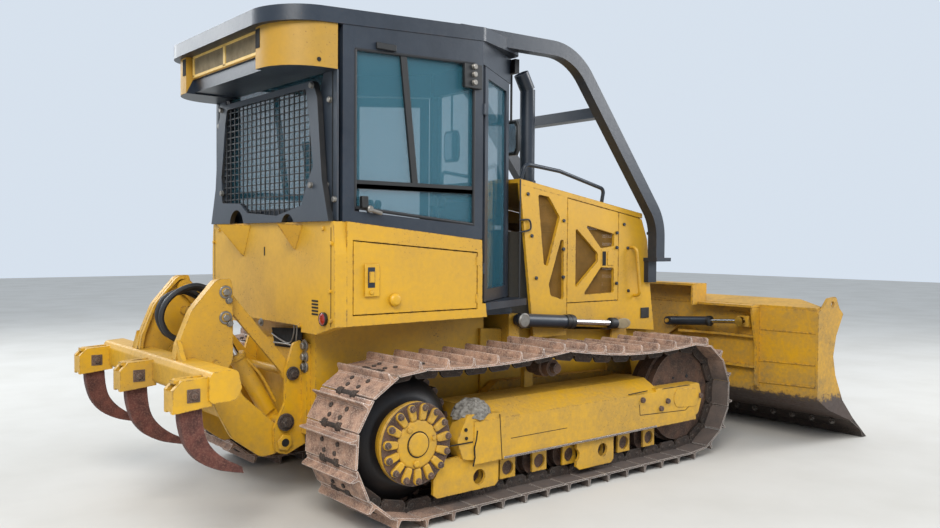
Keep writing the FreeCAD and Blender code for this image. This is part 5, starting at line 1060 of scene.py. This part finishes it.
# %% [markdown]
# ### Air conditioning housing
# Under the roof's rear edge hangs a yellow housing on a dark tray. Its faces get one of two finishes by
# their place. Between pale frames stand upright slats, copied by the repeat tree over a tan panel.

# %% Air conditioning covers
TRAY_TOP, TRAY_HALF = 2.371, 0.4625
housing = nodes["ac_housing"].data
housing.materials.append(CHARCOAL)
for face in housing.polygons:
    in_tray = max(housing.vertices[k].co.z for k in face.vertices) < TRAY_TOP and abs(face.center.y) < TRAY_HALF
    face.material_index = 1 if in_tray or face.normal.z < -0.9 else 0
frames, panels, shade, slat = Forge(), Forge(), Forge(), Forge()
for low, high in ((-440, -418), (-14, 14), (418, 440)):
    frames.block((-568, -558), (low, high), (2372, 2484))
for low, high in ((2368, 2384), (2478, 2492)):
    frames.block((-568, -558), (-440, 440), (low, high))
frames.piece("ac_grille_frames", PALE_YELLOW, bevel=1.5)
panels.block((-562, -557), (-425, 425), (2378, 2484))
panels.piece("ac_grille_panels", TAN_GRILLE)
slat.block((-2.5, 1), (-2, 2), (-51, 51))
SLAT = thing(slat, "slat")
THINGS.append(SLAT)
slats = [((-562.5, y, 2431), Matrix.Identity(3), 1.0) for y in range(-412, 413, 9) if abs(y) > 18]
repeat("ac_grille_slats", SLAT, slats, TAN_GRILLE)
# Near black blocks in the gaps beside the housing and a small near black disc on the cab side: painted shade.
shade.block((-602, -555), (457, 503), (2384, 2478))
shade.turned((-400, 733, 2317), OUTWARD, [(0, 11), (3, 11)], 12)
shade.mirrored().piece("ac_cover_gaps", DARK_INSIDE)
print("slats", len(slats))

# %% [markdown]
# ### Rear guard
# The guard over the rear window is a bolted frame with black crossed wires. Plates with a pressed crease
# fill the corners beside it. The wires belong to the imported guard, so they get their black by their place.

# %% Rear guard
WIRES_REAR, WIRES_FRONT = -331.5, -319
wires = nodes["rear_screen"].data
wires.materials.append(BLACK_WIRE)
for face in wires.polygons:
    face.material_index = 1 if WIRES_REAR < face.center.x * 1000 + MIDDLE < WIRES_FRONT else 0
plates, creases = Forge(), Forge()
plates.prism("x", -300, -290, [(570, 1534), (737, 1534), (737, 2282), (600, 2282), (570, 2200)])
plates.mirrored().piece("rear_corner_plates", GUARD_GREY, bevel=2)
# The crease is a thin near black strip: painted shade.
creases.prism("x", -303, -299, [(692, 1540), (697, 1540), (697, 2278), (692, 2278)])
creases.mirrored().piece("rear_corner_creases", DARK_INSIDE)
for name, x, places in (("corner_plate_bolts", -301, ((674, 2138), (640, 1715), (720, 1640))),
                        ("guard_frame_bolts", -340, ((551, 1716), (558, 2220)))):
    repeat(name, ROUND_BOLT, both([((x, y, z), BACKWARD, 1.5) for y, z in places]), BARE_STEEL)
print("guard finishes", len(wires.materials))

# %% [markdown]
# ### Latches, mirrors and lamps
# Small fittings make the cab look real: black latches and a silver lock on each side window, a mirror on a
# stalk in front of each door, a lens in each work lamp and a collar round the exhaust. They are plain
# closed solids with rounded edges.

# %% Window latches
latches, locks = Forge(), Forge()
latches.block((-78, 42), (740, 756), (2412, 2446))
latches.block((-172, -134), (738, 768), (1600, 1660))
latches.block((488, 614), (738, 764), (2282, 2416))
latches.mirrored().piece("window_latches", BLACK_PLASTIC, bevel=4)
locks.turned((-120, 744, 1596), OUTWARD, [(0, 18), (20, 18), (26, 12)], 16)
locks.tube([(-120, 756, 1592), (-52, 760, 1575)], 11)
locks.mirrored().piece("window_locks", BARE_STEEL)
repeat("bracket_bolts", ROUND_BOLT, both([((554, 763, z), OUTWARD, 1.6) for z in (2401, 2358, 2314)]), BARE_STEEL)
print("latch points", len(latches.points))

# %% Mirrors, lamps and exhaust
MIRROR_SIDE, MIRROR_X = -310, (1226, 1250)
mirrors, glass, lens, stack = Forge(), Forge(), Forge(), Forge()
mirrors.prism("x", *MIRROR_X, [(-232, 2025), (-252, 1990), (-367, 1990), (-387, 2025), (-387, 2172), (-367, 2207),
                               (-252, 2207), (-232, 2172)])
mirrors.tube(bent([(1238, MIRROR_SIDE, z) for z in (2590, 2400, 2190)]), 8)
mirrors.block(MIRROR_X, (MIRROR_SIDE - 20, MIRROR_SIDE + 20), (2560, 2600))
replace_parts(mirrors.mirrored().piece("mirror_heads", BLACK_PLASTIC, bevel=4), "mirrors")
glass.prism("x", 1222, 1227, [(-248, 2035), (-262, 2008), (-357, 2008), (-371, 2035), (-371, 2162), (-357, 2189),
                              (-262, 2189), (-248, 2162)])
glass.mirrored().piece("mirror_glass", MIRROR_GLASS)
lens.block((1195, 1200), (338, 422), (2500, 2570))
lens.mirrored().piece("work_lamp_lenses", CLEAR_LENS, bevel=2)
stack.turned((1437, -250, 1796), (0, 0, 1), [(0, 72), (10, 72), (16, 60), (44, 58), (48, 50)], 28)
stack.piece("exhaust_collar", CHARCOAL)
print("mirror points", len(mirrors.points))

# %% [markdown]
# ## Cab inside
# The seat's two cushions are foam under woven cloth. A block of the right plan is remeshed into small even
# faces, and Blender's Cloth blows it up from inside with gravity off, so that it crowns in the middle and
# keeps its corners. How far a point may move is held, because foam doesn't swell for ever.


# %% Seat cushions
def cushion(name, corners, depth, swell=12, steps=20):
    """A padded block from a plan and a depth direction: remeshed, blown up by cloth pressure and smoothed."""
    forge = Forge()
    forge.loft([[Vector(c) + Vector(depth) * t for c in corners] for t in (0, 0.5, 1)])
    pad = forge.piece(name, SEAT_CLOTH, body=None, limit=180)
    remesh = pad.modifiers.new("remesh", "REMESH")
    remesh.mode = "VOXEL"
    remesh.voxel_size = 0.006
    pad.data = bpy.data.meshes.new_from_object(pad.evaluated_get(bpy.context.evaluated_depsgraph_get()))
    pad.modifiers.clear()
    start = [v.co.copy() for v in pad.data.vertices]
    cloth = pad.modifiers.new("cloth", "CLOTH")
    cloth.settings.use_pressure = True
    cloth.settings.uniform_pressure_force = 4.0
    cloth.settings.effector_weights.gravity = 0.0
    cloth.point_cache.frame_start, cloth.point_cache.frame_end = 1, steps
    for frame_number in range(1, steps + 1):
        bpy.context.scene.frame_set(frame_number)
    pad.data = bpy.data.meshes.new_from_object(pad.evaluated_get(bpy.context.evaluated_depsgraph_get()))
    pad.modifiers.clear()
    bpy.context.scene.frame_set(1)
    for vertex, place in zip(pad.data.vertices, start):
        moved = vertex.co - place
        if moved.length > swell / 1000:
            vertex.co = place + moved * (swell / 1000 / moved.length)
    for face in pad.data.polygons:
        face.use_smooth = True
    smooth = pad.modifiers.new("smooth", "SUBSURF")
    smooth.levels = smooth.render_levels = 1
    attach(pad, "machine")


cushion("seat_cushion", [(132, -245, 1345), (628, -245, 1345), (628, 245, 1345), (132, 245, 1345)], (0, 0, 80))
cushion("seat_backrest", [(78, -225, 1450), (172, -225, 1455), (90, -225, 2035), (14, -225, 2035)], (0, 450, 0))

# %% [markdown]
# ### Seat base and levers
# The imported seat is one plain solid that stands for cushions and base. The cushions have taken its upper
# part, so a moulded base under them replaces the rest, and two levers with knobs stand on each console.

# %% Seat base and levers
stand, levers = Forge(), Forge()
stand.block((160, 490), (-190, 190), (1016, 1325))
stand.block((130, 600), (-215, 215), (1322, 1340))
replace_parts(stand.piece("seat_base_box", BLACK_PLASTIC, bevel=6), "seat")
for x in (560, 620):
    levers.tube([(x, 350, 1560), (x + 20, 350, 1640)], 9)
    levers.turned((x + 20, 350, 1630), (0.2, 0, 1), [(0, 12), (10, 24), (50, 26), (70, 18), (76, 8)], 16)
levers.mirrored().piece("console_levers", BLACK_PLASTIC)
print("lever points", len(levers.points))

# %% [markdown]
# ## Finish
# The pattern things were only there to be copied, so they leave the scene.

# %% Patterns leave the scene
for item in THINGS:
    bpy.data.objects.remove(item)
